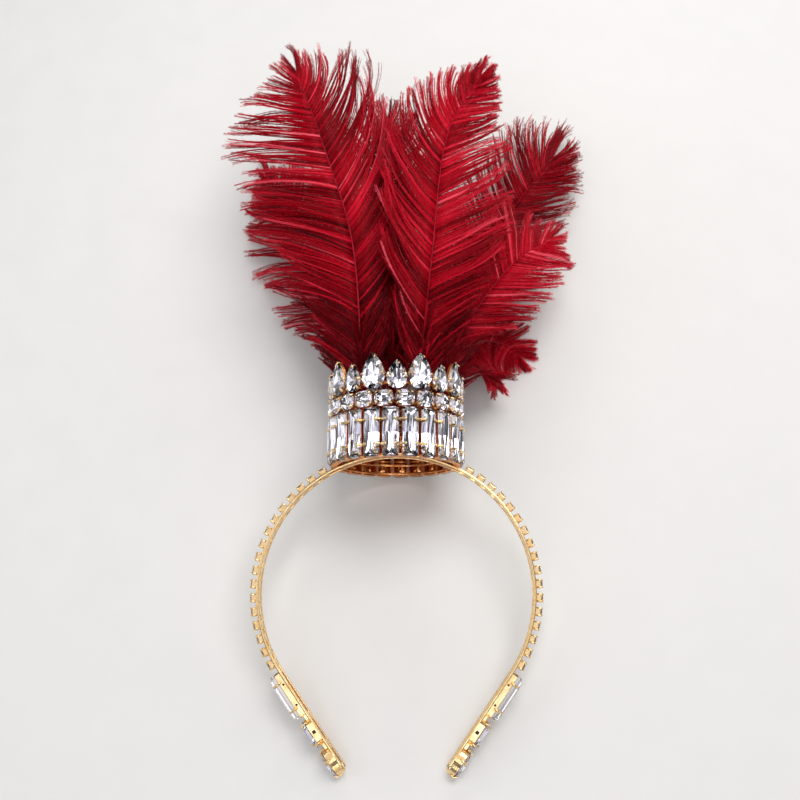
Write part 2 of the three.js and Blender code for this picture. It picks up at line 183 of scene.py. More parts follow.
class Shape:
    """Triangles gathered for one piece, with a material slot, shading and tint for each part."""

    def __init__(self) -> None:
        """Starts with nothing in it."""
        self.points: list[Array] = []
        self.faces: list[Array] = []
        self.slots: list[Array] = []
        self.smooth: list[Array] = []
        self.tints: list[Array] = []
        self.count = 0

    def add(self, points: Array, faces: Array, slot: int | Array = 0, smooth: bool = True,
            tint: Array | None = None) -> None:
        """Adds a part.

        Args:
            points: Corners in millimetres, in the headdress's own frame.
            faces: Triangles.
            slot: Material slot of the part, or of each of its triangles.
            smooth: Whether its shading is smooth.
            tint: A number from 0 to 1 at each corner that the plume's dye reads.
        """
        self.points.append(points)
        self.faces.append(faces + self.count)
        self.slots.append(np.broadcast_to(np.asarray(slot, np.int32), len(faces)))
        self.smooth.append(np.full(len(faces), smooth))
        self.tints.append(np.zeros(len(points)) if tint is None else tint)
        self.count += len(points)

    def add_stones(self, stone: "Stone", frames: Array) -> None:
        """Adds a cut stone in each frame."""
        points, faces, slots = stone.build()
        self.add(*placed(points, faces, frames), np.tile(slots, len(frames)), smooth=False)

    def build(self, name: str, place: "Placement", materials: list[bpy.types.Material], slot: str,
              nodes: list[str]) -> bpy.types.Object:
        """Makes the Blender object, rides it on the body and hides the CAD parts that it replaces.

        Args:
            name: Name of the piece.
            place: Where the headdress lies.
            materials: Finishes, in the order of the slots.
            slot: The record's material slot; not used.
            nodes: CAD nodes that the piece stands for.
        Returns:
            The object, at the origin, with its place in its mesh.
        """
        points = place.to_world(np.concatenate(self.points)).astype(np.float32)
        faces = np.concatenate(self.faces).astype(np.int32)
        mesh = bpy.data.meshes.new(name)
        mesh.vertices.add(len(points))
        mesh.vertices.foreach_set("co", points.ravel())
        mesh.loops.add(faces.size)
        mesh.loops.foreach_set("vertex_index", faces.ravel())
        mesh.polygons.add(len(faces))
        mesh.polygons.foreach_set("loop_start", np.arange(0, faces.size, 3, dtype=np.int32))
        mesh.polygons.foreach_set("material_index", np.concatenate(self.slots).astype(np.int32))
        mesh.polygons.foreach_set("use_smooth", np.concatenate(self.smooth))
        tints = mesh.attributes.new("tint", "FLOAT", "POINT")
        tints.data.foreach_set("value", np.concatenate(self.tints).astype(np.float32))
        mesh.update(calc_edges=True)
        piece = bpy.data.objects.new(name, mesh)
        bpy.context.scene.collection.objects.link(piece)
        for material in materials:
            mesh.materials.append(material)
        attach(piece, BODY)
        if nodes:
            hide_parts(*nodes)
        LOG.info("%s: %d triangles", name, len(faces))
        return piece


@dataclass(frozen=True)
class Placement:
    """Where the headdress lies: turned about x by the slope, then shifted, in millimetres."""

    slope: float
    offset: Array

    @property
    def turn(self) -> Array:
        """Rotation from the headdress's own frame to the floor's."""
        c, s = math.cos(self.slope), math.sin(self.slope)
        return np.array([[1.0, 0.0, 0.0], [0.0, c, -s], [0.0, s, c]])

    def to_world(self, points: Array) -> Array:
        """Gives points in metres on the floor."""
        return (points @ self.turn.T + self.offset) * MM

    def height(self, points: Array) -> Array:
        """Gives each point's height over the floor in millimetres."""
        return points @ self.turn[2] + self.offset[2]

    def lifted(self, points: Array, least: float, softness: float) -> Array:
        """Lifts points that sink under a least height, to half of x + sqrt(x^2 + softness^2) over it.

        Args:
            points: Points in the headdress's own frame.
            least: The least height over the floor.
            softness: How gradually the lift sets in.
        Returns:
            The points, lifted straight up.
        """
        over = self.height(points) - least
        lift = (over + np.sqrt(over * over + softness * softness)) / 2.0 - over
        return points + lift[..., None] * self.turn[2]


class NodeTree:
    """Short way to add nodes to a material or node group."""

    def __init__(self, tree: bpy.types.NodeTree) -> None:
        """Keeps the tree.

        Args:
            tree: The node tree to add to.
        """
        self.tree = tree

    def add(self, kind: str, values: dict | None = None, **settings: object) -> bpy.types.Node:
        """Adds a node, sets its properties and fills its inputs with numbers or links.

        Args:
            kind: Node type name.
            values: Input names or numbers to a value or an output socket.
            settings: Properties of the node.
        Returns:
            The node.
        """
        made = self.tree.nodes.new(kind)
        for key, value in settings.items():
            setattr(made, key, value)
        for key, value in (values or {}).items():
            if isinstance(value, bpy.types.NodeSocket):
                self.tree.links.new(value, made.inputs[key])
            else:
                made.inputs[key].default_value = value
        return made

    def ramp(self, factor: bpy.types.NodeSocket, stops: list[tuple[float, Colour]]) -> bpy.types.NodeSocket:
        """Adds a colour ramp.

        Args:
            factor: What the ramp reads.
            stops: Place and colour of each stop.
        Returns:
            The ramp's colour.
        """
        made = self.add("ShaderNodeValToRGB", {"Fac": factor})
        elements = made.color_ramp.elements
        while len(elements) < len(stops):
            elements.new(1.0)
        for element, (place, colour) in zip(elements, stops):
            element.position = place
            element.color = (*colour, 1.0)
        return made.outputs["Color"]


def mottle_group() -> bpy.types.NodeTree:
    """Builds the mottle that all the finishes share: noise carried from Low to High.

    Returns:
        The node group, with inputs Vector, Scale, Low and High and the outputs Value and Mask.
    """
    group = bpy.data.node_groups.new("mottle", "ShaderNodeTree")
    face = group.interface
    face.new_socket("Vector", in_out="INPUT", socket_type="NodeSocketVector")
    for name in ("Scale", "Low", "High"):
        face.new_socket(name, in_out="INPUT", socket_type="NodeSocketFloat")
    for name in ("Value", "Mask"):
        face.new_socket(name, in_out="OUTPUT", socket_type="NodeSocketFloat")
    nodes = NodeTree(group)
    given = nodes.add("NodeGroupInput").outputs
    noise = nodes.add("ShaderNodeTexNoise",
                      {"Vector": given["Vector"], "Scale": given["Scale"], "Detail": 4.0})
    mask = nodes.add("ShaderNodeMapRange",
                     {"Value": noise.outputs["Fac"], "From Min": 0.35, "From Max": 0.65})
    value = nodes.add("ShaderNodeMapRange",
                      {"Value": mask.outputs["Result"], "To Min": given["Low"], "To Max": given["High"]})
    nodes.add("NodeGroupOutput", {"Value": value.outputs["Result"], "Mask": mask.outputs["Result"]})
    return group


class Finish:
    """A material with its node tree cleared, ready for a shader."""

    mottle: bpy.types.NodeTree | None = None

    def __init__(self, name: str) -> None:
        """Makes the material.

        Args:
            name: Name of the material.
        """
        if Finish.mottle is None:
            Finish.mottle = mottle_group()
        self.material = bpy.data.materials.new(name)
        self.material.use_nodes = True
        self.material.node_tree.nodes.clear()
        self.nodes = NodeTree(self.material.node_tree)

    def mottled(self, scale: float, low: float, high: float) -> bpy.types.bpy_prop_collection:
        """Places the mottle group on Object coordinates.

        Args:
            scale: Noise cells to a metre.
            low: Value in its valleys.
            high: Value on its peaks.
        Returns:
            The group's outputs.
        """
        place = self.nodes.add("ShaderNodeTexCoord").outputs["Object"]
        group = self.nodes.add("ShaderNodeGroup", node_tree=Finish.mottle)
        for key, value in {"Scale": scale, "Low": low, "High": high}.items():
            group.inputs[key].default_value = value
        self.nodes.tree.links.new(place, group.inputs["Vector"])
        return group.outputs

    def blend(self, factor: bpy.types.NodeSocket, first: Colour, second: Colour) -> bpy.types.NodeSocket:
        """Mixes two colours by a mask and gives the result."""
        return self.nodes.ramp(factor, [(0.0, first), (1.0, second)])

    def shade(self, values: dict) -> bpy.types.Material:
        """Ends the tree with a Principled shader.

        Args:
            values: Inputs of the shader.
        Returns:
            The material.
        """
        shader = self.nodes.add("ShaderNodeBsdfPrincipled", values)
        self.nodes.add("ShaderNodeOutputMaterial", {"Surface": shader.outputs["BSDF"]})
        return self.material


@dataclass(frozen=True)
class GoldPlate:
    """Polished gold plate over brass."""

    name: str = "gold_plate"
    deep: Colour = (0.86, 0.56, 0.24)
    bright: Colour = (0.98, 0.76, 0.44)
    roughness: tuple[float, float] = (0.18, 0.34)
    cloud_scale: float = 260.0
    grain_scale: float = 1400.0
    bump_strength: float = 0.12
    bump_depth: float = 0.0001

    def build(self) -> bpy.types.Material:
        """Makes the material, with cloudy polish and a faint hammered bump.

        Returns:
            The material.
        """
        finish = Finish(self.name)
        cloud = finish.mottled(self.cloud_scale, *self.roughness)
        grain = finish.mottled(self.grain_scale, 0.0, 1.0)
        bump = finish.nodes.add("ShaderNodeBump", {"Height": grain["Value"], "Strength": self.bump_strength,
                                                   "Distance": self.bump_depth})
        colour = finish.blend(cloud["Mask"], self.bright, self.deep)
        return finish.shade({"Base Color": colour, "Metallic": 1.0, "Roughness": cloud["Value"],
                             "Normal": bump.outputs["Normal"]})


# A darker, coppery copy of the gold plate for the crown's settings, hoops and crossbars and the band's strip:
# painted reflection of the red plumes and painted shade inside the crown.
GOLD_WITH_PAINTED_REFLECTION = GoldPlate("gold_painted_reflection_shade", (0.70, 0.25, 0.08), (0.94, 0.47, 0.20), (0.22, 0.40))


@dataclass(frozen=True)
class CutGlass:
    """Clear lead glass of the stones' front facets."""

    clear: Colour = (1.0, 1.0, 1.0)
    lavender: Colour = (0.93, 0.92, 0.99)
    patch_scale: float = 120.0
    index: float = 1.58

    def build(self) -> bpy.types.Material:
        """Makes the material, with a faint lavender tint in patches.

        Returns:
            The material.
        """
        finish = Finish("cut_glass")
        patch = finish.mottled(self.patch_scale, 0.0, 1.0)
        colour = finish.blend(patch["Mask"], self.clear, self.lavender)
        return finish.shade({"Base Color": colour, "Roughness": 0.0, "IOR": self.index,
                             "Transmission Weight": 1.0})


@dataclass(frozen=True)
class FoilBack:
    """Mirror foil on the stones' backs, silver inside and copper lacquer outside."""

    silver: Colour = (0.95, 0.94, 0.98)
    lacquer: Colour = (0.62, 0.27, 0.10)
    cloud_scale: float = 300.0
    roughness: tuple[float, float] = (0.03, 0.12)

    def build(self) -> bpy.types.Material:
        """Makes the material, with the colour chosen by the side that is seen.

        Returns:
            The material.
        """
        finish = Finish("foil_back")
        side = finish.nodes.add("ShaderNodeNewGeometry").outputs["Backfacing"]
        cloud = finish.mottled(self.cloud_scale, *self.roughness)
        colour = finish.blend(side, self.lacquer, self.silver)
        return finish.shade({"Base Color": colour, "Metallic": 1.0, "Roughness": cloud["Value"]})


@dataclass(frozen=True)
class PlumeDyeAndPaintedLight:
    """Crimson dye on ostrich barbs, read from each strand's tint, which also carries painted shade and
    painted highlights: the ramp runs from a shadow red to a pink highlight.
    """

    stops: tuple[tuple[float, Colour], ...] = (
        (0.0, (0.06, 0.0, 0.001)),
        (0.3, (0.23, 0.0, 0.004)),
        (0.55, (0.48, 0.001, 0.011)),
        (0.8, (0.76, 0.010, 0.038)),
        (1.0, (0.95, 0.11, 0.16)),
    )
    gloss_scale: float = 900.0
    roughness: tuple[float, float] = (0.24, 0.4)
    specular: float = 0.25
    sheen: Colour = (1.0, 0.3, 0.38)

    def build(self) -> bpy.types.Material:
        """Makes the material, silky with a soft sheen.

        Returns:
            The material.
        """
        finish = Finish("plume_dye_and_painted_light")
        tint = finish.nodes.add("ShaderNodeAttribute", attribute_name="tint").outputs["Fac"]
        colour = finish.nodes.ramp(tint, list(self.stops))
        gloss = finish.mottled(self.gloss_scale, *self.roughness)
        return finish.shade({"Base Color": colour, "Roughness": gloss["Value"],
                             "Specular IOR Level": self.specular, "Specular Tint": (*self.sheen, 1.0)})


@dataclass(frozen=True)
class QuillHorn:
    """Dyed horn of the quills."""

    deep: Colour = (0.14, 0.002, 0.006)
    pale: Colour = (0.32, 0.006, 0.016)
    streak_scale: float = 180.0
    roughness: tuple[float, float] = (0.25, 0.45)
    specular: float = 0.5
    sheen: Colour = (1.0, 0.2, 0.25)

    def build(self) -> bpy.types.Material:
        """Makes the material, glossy with streaks of dye.

        Returns:
            The material.
        """
        finish = Finish("quill_horn")
        streak = finish.mottled(self.streak_scale, *self.roughness)
        colour = finish.blend(streak["Mask"], self.deep, self.pale)
        return finish.shade({"Base Color": colour, "Roughness": streak["Value"],
                             "Specular IOR Level": self.specular, "Specular Tint": (*self.sheen, 1.0)})


@dataclass(frozen=True)
class PaintedHoleShade:
    """Painted shade of the drilled holes, laid on flat discs over the settings' walls."""

    deep: Colour = (0.012, 0.006, 0.003)
    warm: Colour = (0.05, 0.025, 0.01)
    cloud_scale: float = 700.0
    roughness: tuple[float, float] = (0.6, 0.9)

    def build(self) -> bpy.types.Material:
        """Makes the material: painted shade, matt with a warm mottle.

        Returns:
            The material.
        """
        finish = Finish("painted_hole_shade")
        cloud = finish.mottled(self.cloud_scale, *self.roughness)
        colour = finish.blend(cloud["Mask"], self.deep, self.warm)
        return finish.shade({"Base Color": colour, "Roughness": cloud["Value"]})


@dataclass(frozen=True)
class FloorPaper:
    """Pale matt paper of the studio floor, which stays pale where the lights no longer reach."""

    pale: Colour = (0.812, 0.802, 0.792)
    paler: Colour = (0.828, 0.818, 0.808)
    fibre_scale: float = 40.0
    roughness: tuple[float, float] = (0.7, 0.85)
    far_glow: Colour = (0.74, 0.74, 0.74)
    lit_radius: float = 0.65
    dim_radius: float = 1.5

    def build(self) -> bpy.types.Material:
        """Makes the material, with a faint fibre mottle.

        Returns:
            The material.
        """
        finish = Finish("floor_paper")
        nodes = finish.nodes
        fibre = finish.mottled(self.fibre_scale, *self.roughness)
        colour = finish.blend(fibre["Mask"], self.pale, self.paler)
        place = nodes.add("ShaderNodeTexCoord").outputs["Object"]
        away = nodes.add("ShaderNodeVectorMath", {0: place}, operation="LENGTH").outputs["Value"]
        dim = nodes.add("ShaderNodeMapRange", {"Value": away, "From Min": self.lit_radius,
                                               "From Max": self.dim_radius}, interpolation_type="SMOOTHSTEP")
        seen = nodes.add("ShaderNodeLightPath").outputs["Is Camera Ray"]
        share = nodes.add("ShaderNodeMath", {0: dim.outputs["Result"], 1: seen}, operation="MULTIPLY")
        glow = finish.blend(share.outputs["Value"], (0.0, 0.0, 0.0), self.far_glow)
        return finish.shade({"Base Color": colour, "Roughness": fibre["Value"], "Emission Color": glow,
                             "Emission Strength": 1.0})


class Cut(Enum):
    """How a stone is cut."""

    STEP = "step"
    PEAR = "pear"
    ROUND = "round"


# Rings of a step cut: inset as a share of the half-width, and share of the crown's or the pavilion's height.
STEP_CROWN = ((0.48, 1.0), (0.26, 0.72), (0.0, 0.1))
STEP_PAVILION = ((0.0, 0.0), (0.34, 0.53), (0.66, 0.87), (0.9, 1.0))
CORNER_MOST = 0.8

# Rings of a brilliant cut: share of the outline, and share of the crown's or the pavilion's height.
TABLE_RING = (0.55, 1.0)
STAR_RING = (0.8, 0.62)
BACK_RING = (0.5, -0.62)
BELT_HALF = 0.15
PEAR_MIDDLE = -0.08
PEAR_POWER = 0.7
PEAR_WIDEST = 0.822

# A claw over a stone: share of its reach inwards, height by distance inwards, and share of its thickness.
CLAW_FOLD = np.array([0.0, 0.4, 0.75, 0.95, 1.0])
CLAW_HEIGHT = ((-0.3, 0.0, 1.05, 2.5), (0.1, 0.5, 1.6, 2.2))
CLAW_TAPER = np.array([0.8, 1.0, 1.0, 1.0, 1.0, 0.95, 0.75, 0.3])
CLAW_KNEE = -0.6
CLAW_FOOT_INSET = 0.2
CLAW_SIDES = 8
CLAW_FLATNESS = 0.7

# A claw on a cup of the band: columns reach outwards, height and radius.
CUP_CLAW = np.array([(0.0, 0.4, 0.45), (0.1, 3.0, 0.5), (0.1, 3.6, 0.5), (-0.2, 4.0, 0.45), (-0.6, 4.0, 0.2)])
WIRE_SIDES = 6

# Claws round a pear, as shares of its half-width and half-length.
CROWN_PEAR_CLAWS = np.array([(0.98, -0.15), (-0.98, -0.15), (0.72, -0.78), (-0.72, -0.78), (0.22, 0.84)])
TIP_PEAR_CLAWS = np.array([(0.98, -0.25), (-0.98, -0.25), (0.0, 1.0), (0.0, -1.0)])


@dataclass(frozen=True)
class Stone:
    """A cut stone in its own frame: x across, y along its length, z out of its table, girdle at z = 0."""

    cut: Cut
    width: float
    length: float
    corner: float = 0.8
    crown: float = 1.8
    pavilion: float = 2.3
    girdle: float = 0.23
    keel: float = 0.0

    @property
    def half(self) -> Array:
        """Half its width and half its length."""
        return np.array([self.width, self.length]) / 2.0

    @property
    def is_long(self) -> bool:
        """Whether it is more than twice as long as wide."""
        return self.length > 2.0 * self.width

    def outline(self, turn: Array) -> Array:
        """Gives the girdle's outline of a pear or round stone at turns from its point.

        A pear's half-width goes with sin(a) * sin(a / 2) ** 0.7, and its height is cos(a) of half the length.

        Args:
            turn: Angles in radians.
        Returns:
            Points, one row each.
        """
        if self.cut is Cut.PEAR:
            belly = np.sin(np.mod(turn, 2.0 * math.pi) / 2.0) ** PEAR_POWER
            across = np.sin(turn) * belly / PEAR_WIDEST
        else:
            across = np.sin(turn)
        return np.stack([across, np.cos(turn)], -1) * self.half

    def rim(self, inset: float, steps: int = 3) -> Array:
        """Gives a dense outline drawn in by an inset, for the setting that follows the stone.

        Args:
            inset: Distance inwards.
            steps: Points on each side of a step cut, or an eighth of those of another cut.
        Returns:
            Points in a closed loop, one row each.
        """
        if self.cut is Cut.STEP:
            corners = self.octagon(inset)
            share = np.arange(steps)[:, None] / steps
            return (corners[:, None] * (1 - share) + np.roll(corners, -1, 0)[:, None] * share).reshape(-1, 2)
        loop = self.outline(np.linspace(0.0, 2.0 * math.pi, 8 * steps, endpoint=False))
        return loop * (1.0 - inset / self.half)

    def octagon(self, inset: float) -> Array:
        """Gives a step-cut outline drawn in by an inset.

        Args:
            inset: Distance inwards.
        Returns:
            The eight corners.
        """
        x, y = self.half - inset
        c = min(self.corner, CORNER_MOST * x, CORNER_MOST * y)
        half = np.array([[c - x, y], [x - c, y], [x, y - c], [x, c - y]])
        return np.concatenate([half, -half])

    def build(self) -> tuple[Array, Array, Array]:
        """Makes the facets.

        Returns:
            Corners, triangles, and the material slot of each triangle: 0 in front, 1 for the foil behind.
        """
        return self.step_cut() if self.cut is Cut.STEP else self.brilliant()

    def step_cut(self) -> tuple[Array, Array, Array]:
        """Rings of parallel facets from the table down to a narrow keel, which is deepest at its middle.

        Returns:
            Corners, triangles and slots, as build gives them.
        """
        narrow = self.half.min()
        deep = self.pavilion - self.girdle
        levels = [(inset, share * self.crown, 0.0) for inset, share in STEP_CROWN]
        levels += [(inset, -self.girdle - share * deep, -share * self.keel) for inset, share in STEP_PAVILION]
        rings = []
        for inset, z, dip in levels:
            loop = self.octagon(inset * narrow)
            loop = np.insert(loop, [3, 7], [loop[2:4].mean(0), loop[6:8].mean(0)], axis=0)
            rings.append(raised(loop, z + dip * (loop[:, 1] == 0.0)))
        points = np.concatenate(rings)
        faces = outwards(points, capped(len(levels), len(rings[0])))
        behind = points[faces][:, :, 2].mean(1) < -self.girdle - 0.01
        return points, faces, behind.astype(np.int32)

    def brilliant(self) -> tuple[Array, Array, Array]:
        """Star, kite and girdle facets round a table, and kites down to a point behind.

        Returns:
            Corners, triangles and slots, as build gives them.
        """
        mains = 8
        turn = 2.0 * math.pi * np.arange(mains) / mains
        half = turn + math.pi / mains
        centre = np.array([0.0, PEAR_MIDDLE * self.length if self.cut is Cut.PEAR else 0.0])

        def ring(angles: Array, share: float, level: float, height: float) -> Array:
            """Gives the outline drawn towards the centre, at a share of a height."""
            return raised(centre + share * (self.outline(angles) - centre), level * height)

        table, star = ring(turn, *TABLE_RING, self.crown), ring(half, *STAR_RING, self.crown)
        upper = np.stack([ring(angles, 1.0, 1.0, BELT_HALF) for angles in (turn, half)], 1).reshape(-1, 3)
        lower = upper - [0.0, 0.0, 2.0 * BELT_HALF]
        back = ring(half, *BACK_RING, self.pavilion)
        tip = np.array([[*centre, -self.pavilion]])
        points = np.concatenate([table, star, upper, lower, back, tip])
        i = np.arange(mains)
        n = (i + 1) % mains
        p = (i - 1) % mains
        t, s, u = 0, mains, 2 * mains
        w, b, c = 4 * mains, 6 * mains, np.full(mains, 7 * mains)
        main, next_main = 2 * i, (2 * i + 2) % (2 * mains)
        front = [
            (t + i, s + i, t + n), (t + i, s + p, u + main), (t + i, u + main, s + i),
            (s + i, u + main, u + main + 1), (s + i, u + main + 1, u + next_main),
        ]
        belt = [(u + main, w + main, u + main + 1), (u + main + 1, w + main, w + main + 1),
                (u + main + 1, w + main + 1, u + next_main), (u + next_main, w + main + 1, w + next_main)]
        behind = [
            (b + i, w + main + 1, w + main), (b + i, w + next_main, w + main + 1),
            (b + i, w + main, b + p), (c, b + i, b + p),
        ]
        groups = [np.concatenate([np.stack(f, -1) for f in part]) for part in (front, belt, behind)]
        faces = np.concatenate([groups[0], fan(np.arange(mains)), groups[1], groups[2]])
        slots = np.arange(len(faces)) >= len(faces) - len(groups[2])
        return points, self.consistent(points, faces), slots.astype(np.int32)

    @staticmethod
    def consistent(points: Array, faces: Array) -> Array:
        """Turns each triangle of a nearly convex shape away from its middle.

        Args:
            points: Corners.
            faces: Triangles.
        Returns:
            The triangles with their normals outwards.
        """
        corners = points[faces]
        normal = np.cross(corners[:, 1] - corners[:, 0], corners[:, 2] - corners[:, 0])
        away = np.einsum("ij,ij->i", normal, corners.mean(1) - points.mean(0)) < 0
        return np.where(away[:, None], faces[:, ::-1], faces)

    def setting(self, profile: list[tuple[float, float]]) -> Mesh:
        """Wall that follows the stone's outline: a closed profile carried round it.

        Args:
            profile: Corners of the wall's section, each a distance outwards and a height.
        Returns:
            Corners and triangles.
        """
        points = np.concatenate([raised(self.rim(-out), z) for out, z in profile])
        rows = len(profile)
        return points, outwards(points, grid_faces(rows, len(points) // rows, wrap_rows=True))

    def claws(self, spots: Array, over: float, thickness: float, outset: float = 0.3) -> Mesh:
        """Claws that rise outside the girdle and fold over it.

        A claw faces away from the stone's middle, or straight out from the sides of a long stone.

        Args:
            spots: Place of each claw on the outline.
            over: How far a claw reaches over the stone.
            thickness: Its radius.
            outset: How far outside the girdle it rises.
        Returns:
            Corners and triangles.
        """
        sideways = self.cut is Cut.STEP and self.is_long
        away = unit(spots * [1.0, 0.0 if sideways else 1.0])
        reach = np.concatenate([[outset - CLAW_FOOT_INSET, outset, outset], -over * CLAW_FOLD])
        height = np.interp(-reach, *CLAW_HEIGHT)
        height[:2] = [-self.pavilion, CLAW_KNEE]
        points = np.column_stack([reach, height, thickness * CLAW_TAPER])
        return claw_tubes(spots, away, points, CLAW_SIDES, CLAW_FLATNESS)


# Sections of the settings' walls: distance outwards from the outline, and height over the stone's girdle, or
# for a cup over the band's middle line.
CROWN_WALL = [(-0.2, -0.2), (-0.06, -0.5), (0.0, -2.9), (-0.1, -3.3), (-0.6, -3.3), (-0.7, -2.9),
              (-0.5, -0.9)]
END_WALL = [(0.0, -1.05), (0.12, -1.2), (0.12, -4.3), (0.0, -4.5), (-0.4, -4.5), (-0.5, -4.3), (-0.4, -1.2)]
TIP_WALL = [(0.0, -0.25), (0.12, -0.4), (0.12, -4.3), (0.0, -4.5), (-0.4, -4.5), (-0.5, -4.3), (-0.4, -1.0)]
PEAR_WALL = [(-1.0, -0.85), (-0.9, -1.1), (-0.9, -2.4), (-1.0, -2.6), (-1.5, -2.6), (-1.6, -2.4),
             (-1.6, -1.3)]
CUP_WALL = [(0.0, 3.2), (0.05, 3.0), (-0.12, 0.2), (-0.3, 0.1), (-1.2, 0.1), (-1.2, 2.4), (-0.4, 3.2)]


@dataclass(frozen=True)
class Headband:
    """Open loop of two rails with rungs and claw cups, and box settings at its ends."""

    inner_radius: float = 67.6
    centre_y: float = -62.0
    width: float = 9.0
    rail: float = 1.4
    arc_end: float = math.radians(125.0)
    arm: float = 54.0
    mount_place: float = 188.0
    rail_steps: int = 180
    strip_steps: int = 40
    strip_end: float = 29.0
    cups: int = 17
    first_cup: float = 37.9
    cup_pitch: float = 6.58
    end_height: float = 2.2
    seat: float = 2.3
    long_stone: Stone = Stone(Cut.STEP, 8.0, 24.0, crown=2.5, girdle=1.0)
    short_stone: Stone = Stone(Cut.STEP, 9.6, 13.6, 2.4, girdle=0.9)
    tip_stone: Stone = Stone(Cut.PEAR, 9.6, 14.0)
    cup_stone: Stone = Stone(Cut.ROUND, 3.6, 3.6, crown=1.0, pavilion=1.3)
    end_places: tuple[float, float, float] = (160.2, 181.2, 197.8)
    end_claw: tuple[float, float] = (1.6, 0.6)
    claw_lift: tuple[float, float] = (0.1, 0.05)
    long_claw_place: float = 0.6
    link_places: tuple[float, float] = (173.3, 189.4)
    link_size: tuple[float, float] = (7.0, 3.4)
    link_foot: float = -0.3
    strip_height: float = 1.0
    strip_margin: float = 0.8
    strip_bulge: float = 0.4
    rung_height: float = 0.9
    rung_margin: float = 1.2
    bevel: float = 0.15
    cup_size: float = 4.0
    cup_corner: float = 0.5
    cup_seat: float = 3.1
    cup_claw_spot: float = 1.65
    # Holes in the end settings' walls, drawn as flat discs of painted shade.
    hole_place: float = 5.75
    hole_radius: float = 0.6
    hole_sides: int = 12
    square_radius: float = 1.2
    window_level: float = -2.7
    window_outset: float = 0.14

    @property
    def end_stones(self) -> dict[str, tuple[Stone, float]]:
        """The stones at each end by name, each with its length from the band's top."""
        stones = (self.long_stone, self.short_stone, self.tip_stone)
        return dict(zip(("baguette", "octagon", "pear"), zip(stones, self.end_places)))

    @property
    def radius(self) -> float:
        """Radius of the rails' middle line."""
        return self.inner_radius + self.rail / 2.0

    @property
    def arc(self) -> float:
        """Length of the bent part from the top to an arm."""
        return self.radius * self.arc_end

    def frames(self, lengths: Array) -> Array:
        """Frames on the band at lengths from its top, negative down the left arm.

        The path is a circle up to the arc's end and a straight line after it.

        Args:
            lengths: Lengths in millimetres.
        Returns:
            Origin, across, along and outwards of each, shape (places, 4, 3).
        """
        side = np.where(lengths < 0, -1.0, 1.0)
        turn = np.minimum(np.abs(lengths) / self.radius, self.arc_end)
        past = np.maximum(np.abs(lengths) - self.arc, 0.0)[:, None]
        zero = np.zeros_like(turn)
        out = np.stack([side * np.sin(turn), np.cos(turn), zero], -1)
        along = np.stack([side * np.cos(turn), -np.sin(turn), zero], -1)
        origin = out * self.radius + along * past + [0.0, self.centre_y, 0.0]
        return np.stack([origin, np.cross(along, out), along, out], 1)

    def bar(self, half_length: float, steps: int, section: Array) -> Mesh:
        """Bar whose section is carried along the path, as far to both sides of the band's top.

        Args:
            half_length: Length on each side of the top.
            steps: Places along it.
            section: Corners of the section, each outwards and along z.
        Returns:
            Corners and triangles.
        """
        frames = self.frames(np.linspace(-half_length, half_length, steps))
        corners = frames[:, None, 0] + section[None, :, :1] * frames[:, None, 3]
        points = (corners + section[None, :, 1:] * np.array([0.0, 0.0, 1.0])).reshape(-1, 3)
        return points, outwards(points, capped(steps, len(section)))

    @staticmethod
    def rounded(height: float, width: float, middle: float, bulge: float = 0.3) -> Array:
        """Section of a bar with cut corners.

        Args:
            height: Size outwards.
            width: Size along z.
            middle: Middle of the section along z.
            bulge: Cut of a corner as a share of the smaller half-size.
        Returns:
            Eight corners.
        """
        h, w = height / 2.0, width / 2.0
        b = bulge * min(h, w)
        half = np.array([[h, b - w], [h, w - b], [h - b, w], [b - h, w]])
        return np.concatenate([half, -half]) + [0.0, middle]

    def cup_places(self) -> Array:
        """Lengths of all the cups, left arm first."""
        one = self.first_cup + self.cup_pitch * np.arange(self.cups)
        return np.concatenate([-one, one])

    def build_metal(self, place: Placement, materials: list[bpy.types.Material]) -> None:
        """Builds rails, strip, rungs, cups, end settings and claws as one soldered piece.

        Args:
            place: Where the headdress lies.
            materials: Gold, the coppery gold with painted reflection and shade, and the painted shade of the
                holes.
        """
        shape = Shape()
        edge = self.width / 2.0 - self.rail / 2.0
        for z in (-edge, edge):
            rail = self.rounded(self.rail, self.rail, z)
            shape.add(*self.bar(self.arc + self.arm, self.rail_steps, rail))
        strip = self.rounded(self.strip_height, self.width - self.strip_margin, 0.0, self.strip_bulge)
        # The strip takes the coppery gold with painted reflection and shade.
        shape.add(*self.bar(self.strip_end, self.strip_steps, strip), 1)
        rung = self.slab((self.width - self.rung_margin, self.cup_size), -self.rung_height / 2.0,
                         self.rung_height / 2.0)
        cup = Stone(Cut.STEP, self.cup_size, self.cup_size, self.cup_corner).setting(CUP_WALL)
        spots = mirrored(self.cup_claw_spot, self.cup_claw_spot)
        frames = self.frames(self.cup_places())
        shape.add(*placed(*rung, frames), smooth=False)
        shape.add(*placed(*cup, frames), smooth=False)
        shape.add(*placed(*claw_tubes(spots, unit(spots), CUP_CLAW, WIRE_SIDES), frames))
        links = self.frames(np.array([side * middle for side in (-1, 1) for middle in self.link_places]))
        link = self.slab(self.link_size, self.link_foot, self.end_height)
        shape.add(*placed(*link, links), smooth=False)
        for stone, middle in self.end_stones.values():
            both = self.end_frames(middle)
            wall = TIP_WALL if stone.cut is Cut.PEAR else END_WALL
            shape.add(*placed(*stone.setting(wall), both), smooth=False)
            points, faces = placed(*stone.claws(self.end_spots(stone), *self.end_claw), both)
            shape.add(place.lifted(points, *self.claw_lift), faces)
            if stone.cut is Cut.STEP:
                # Flat dark discs on the long walls: painted shade where the setting's holes are.
                shape.add(*placed(*self.hole_shade_discs(stone), both), 2, smooth=False)
        shape.build("headband_metal", place, materials, "gold", ["headband"])

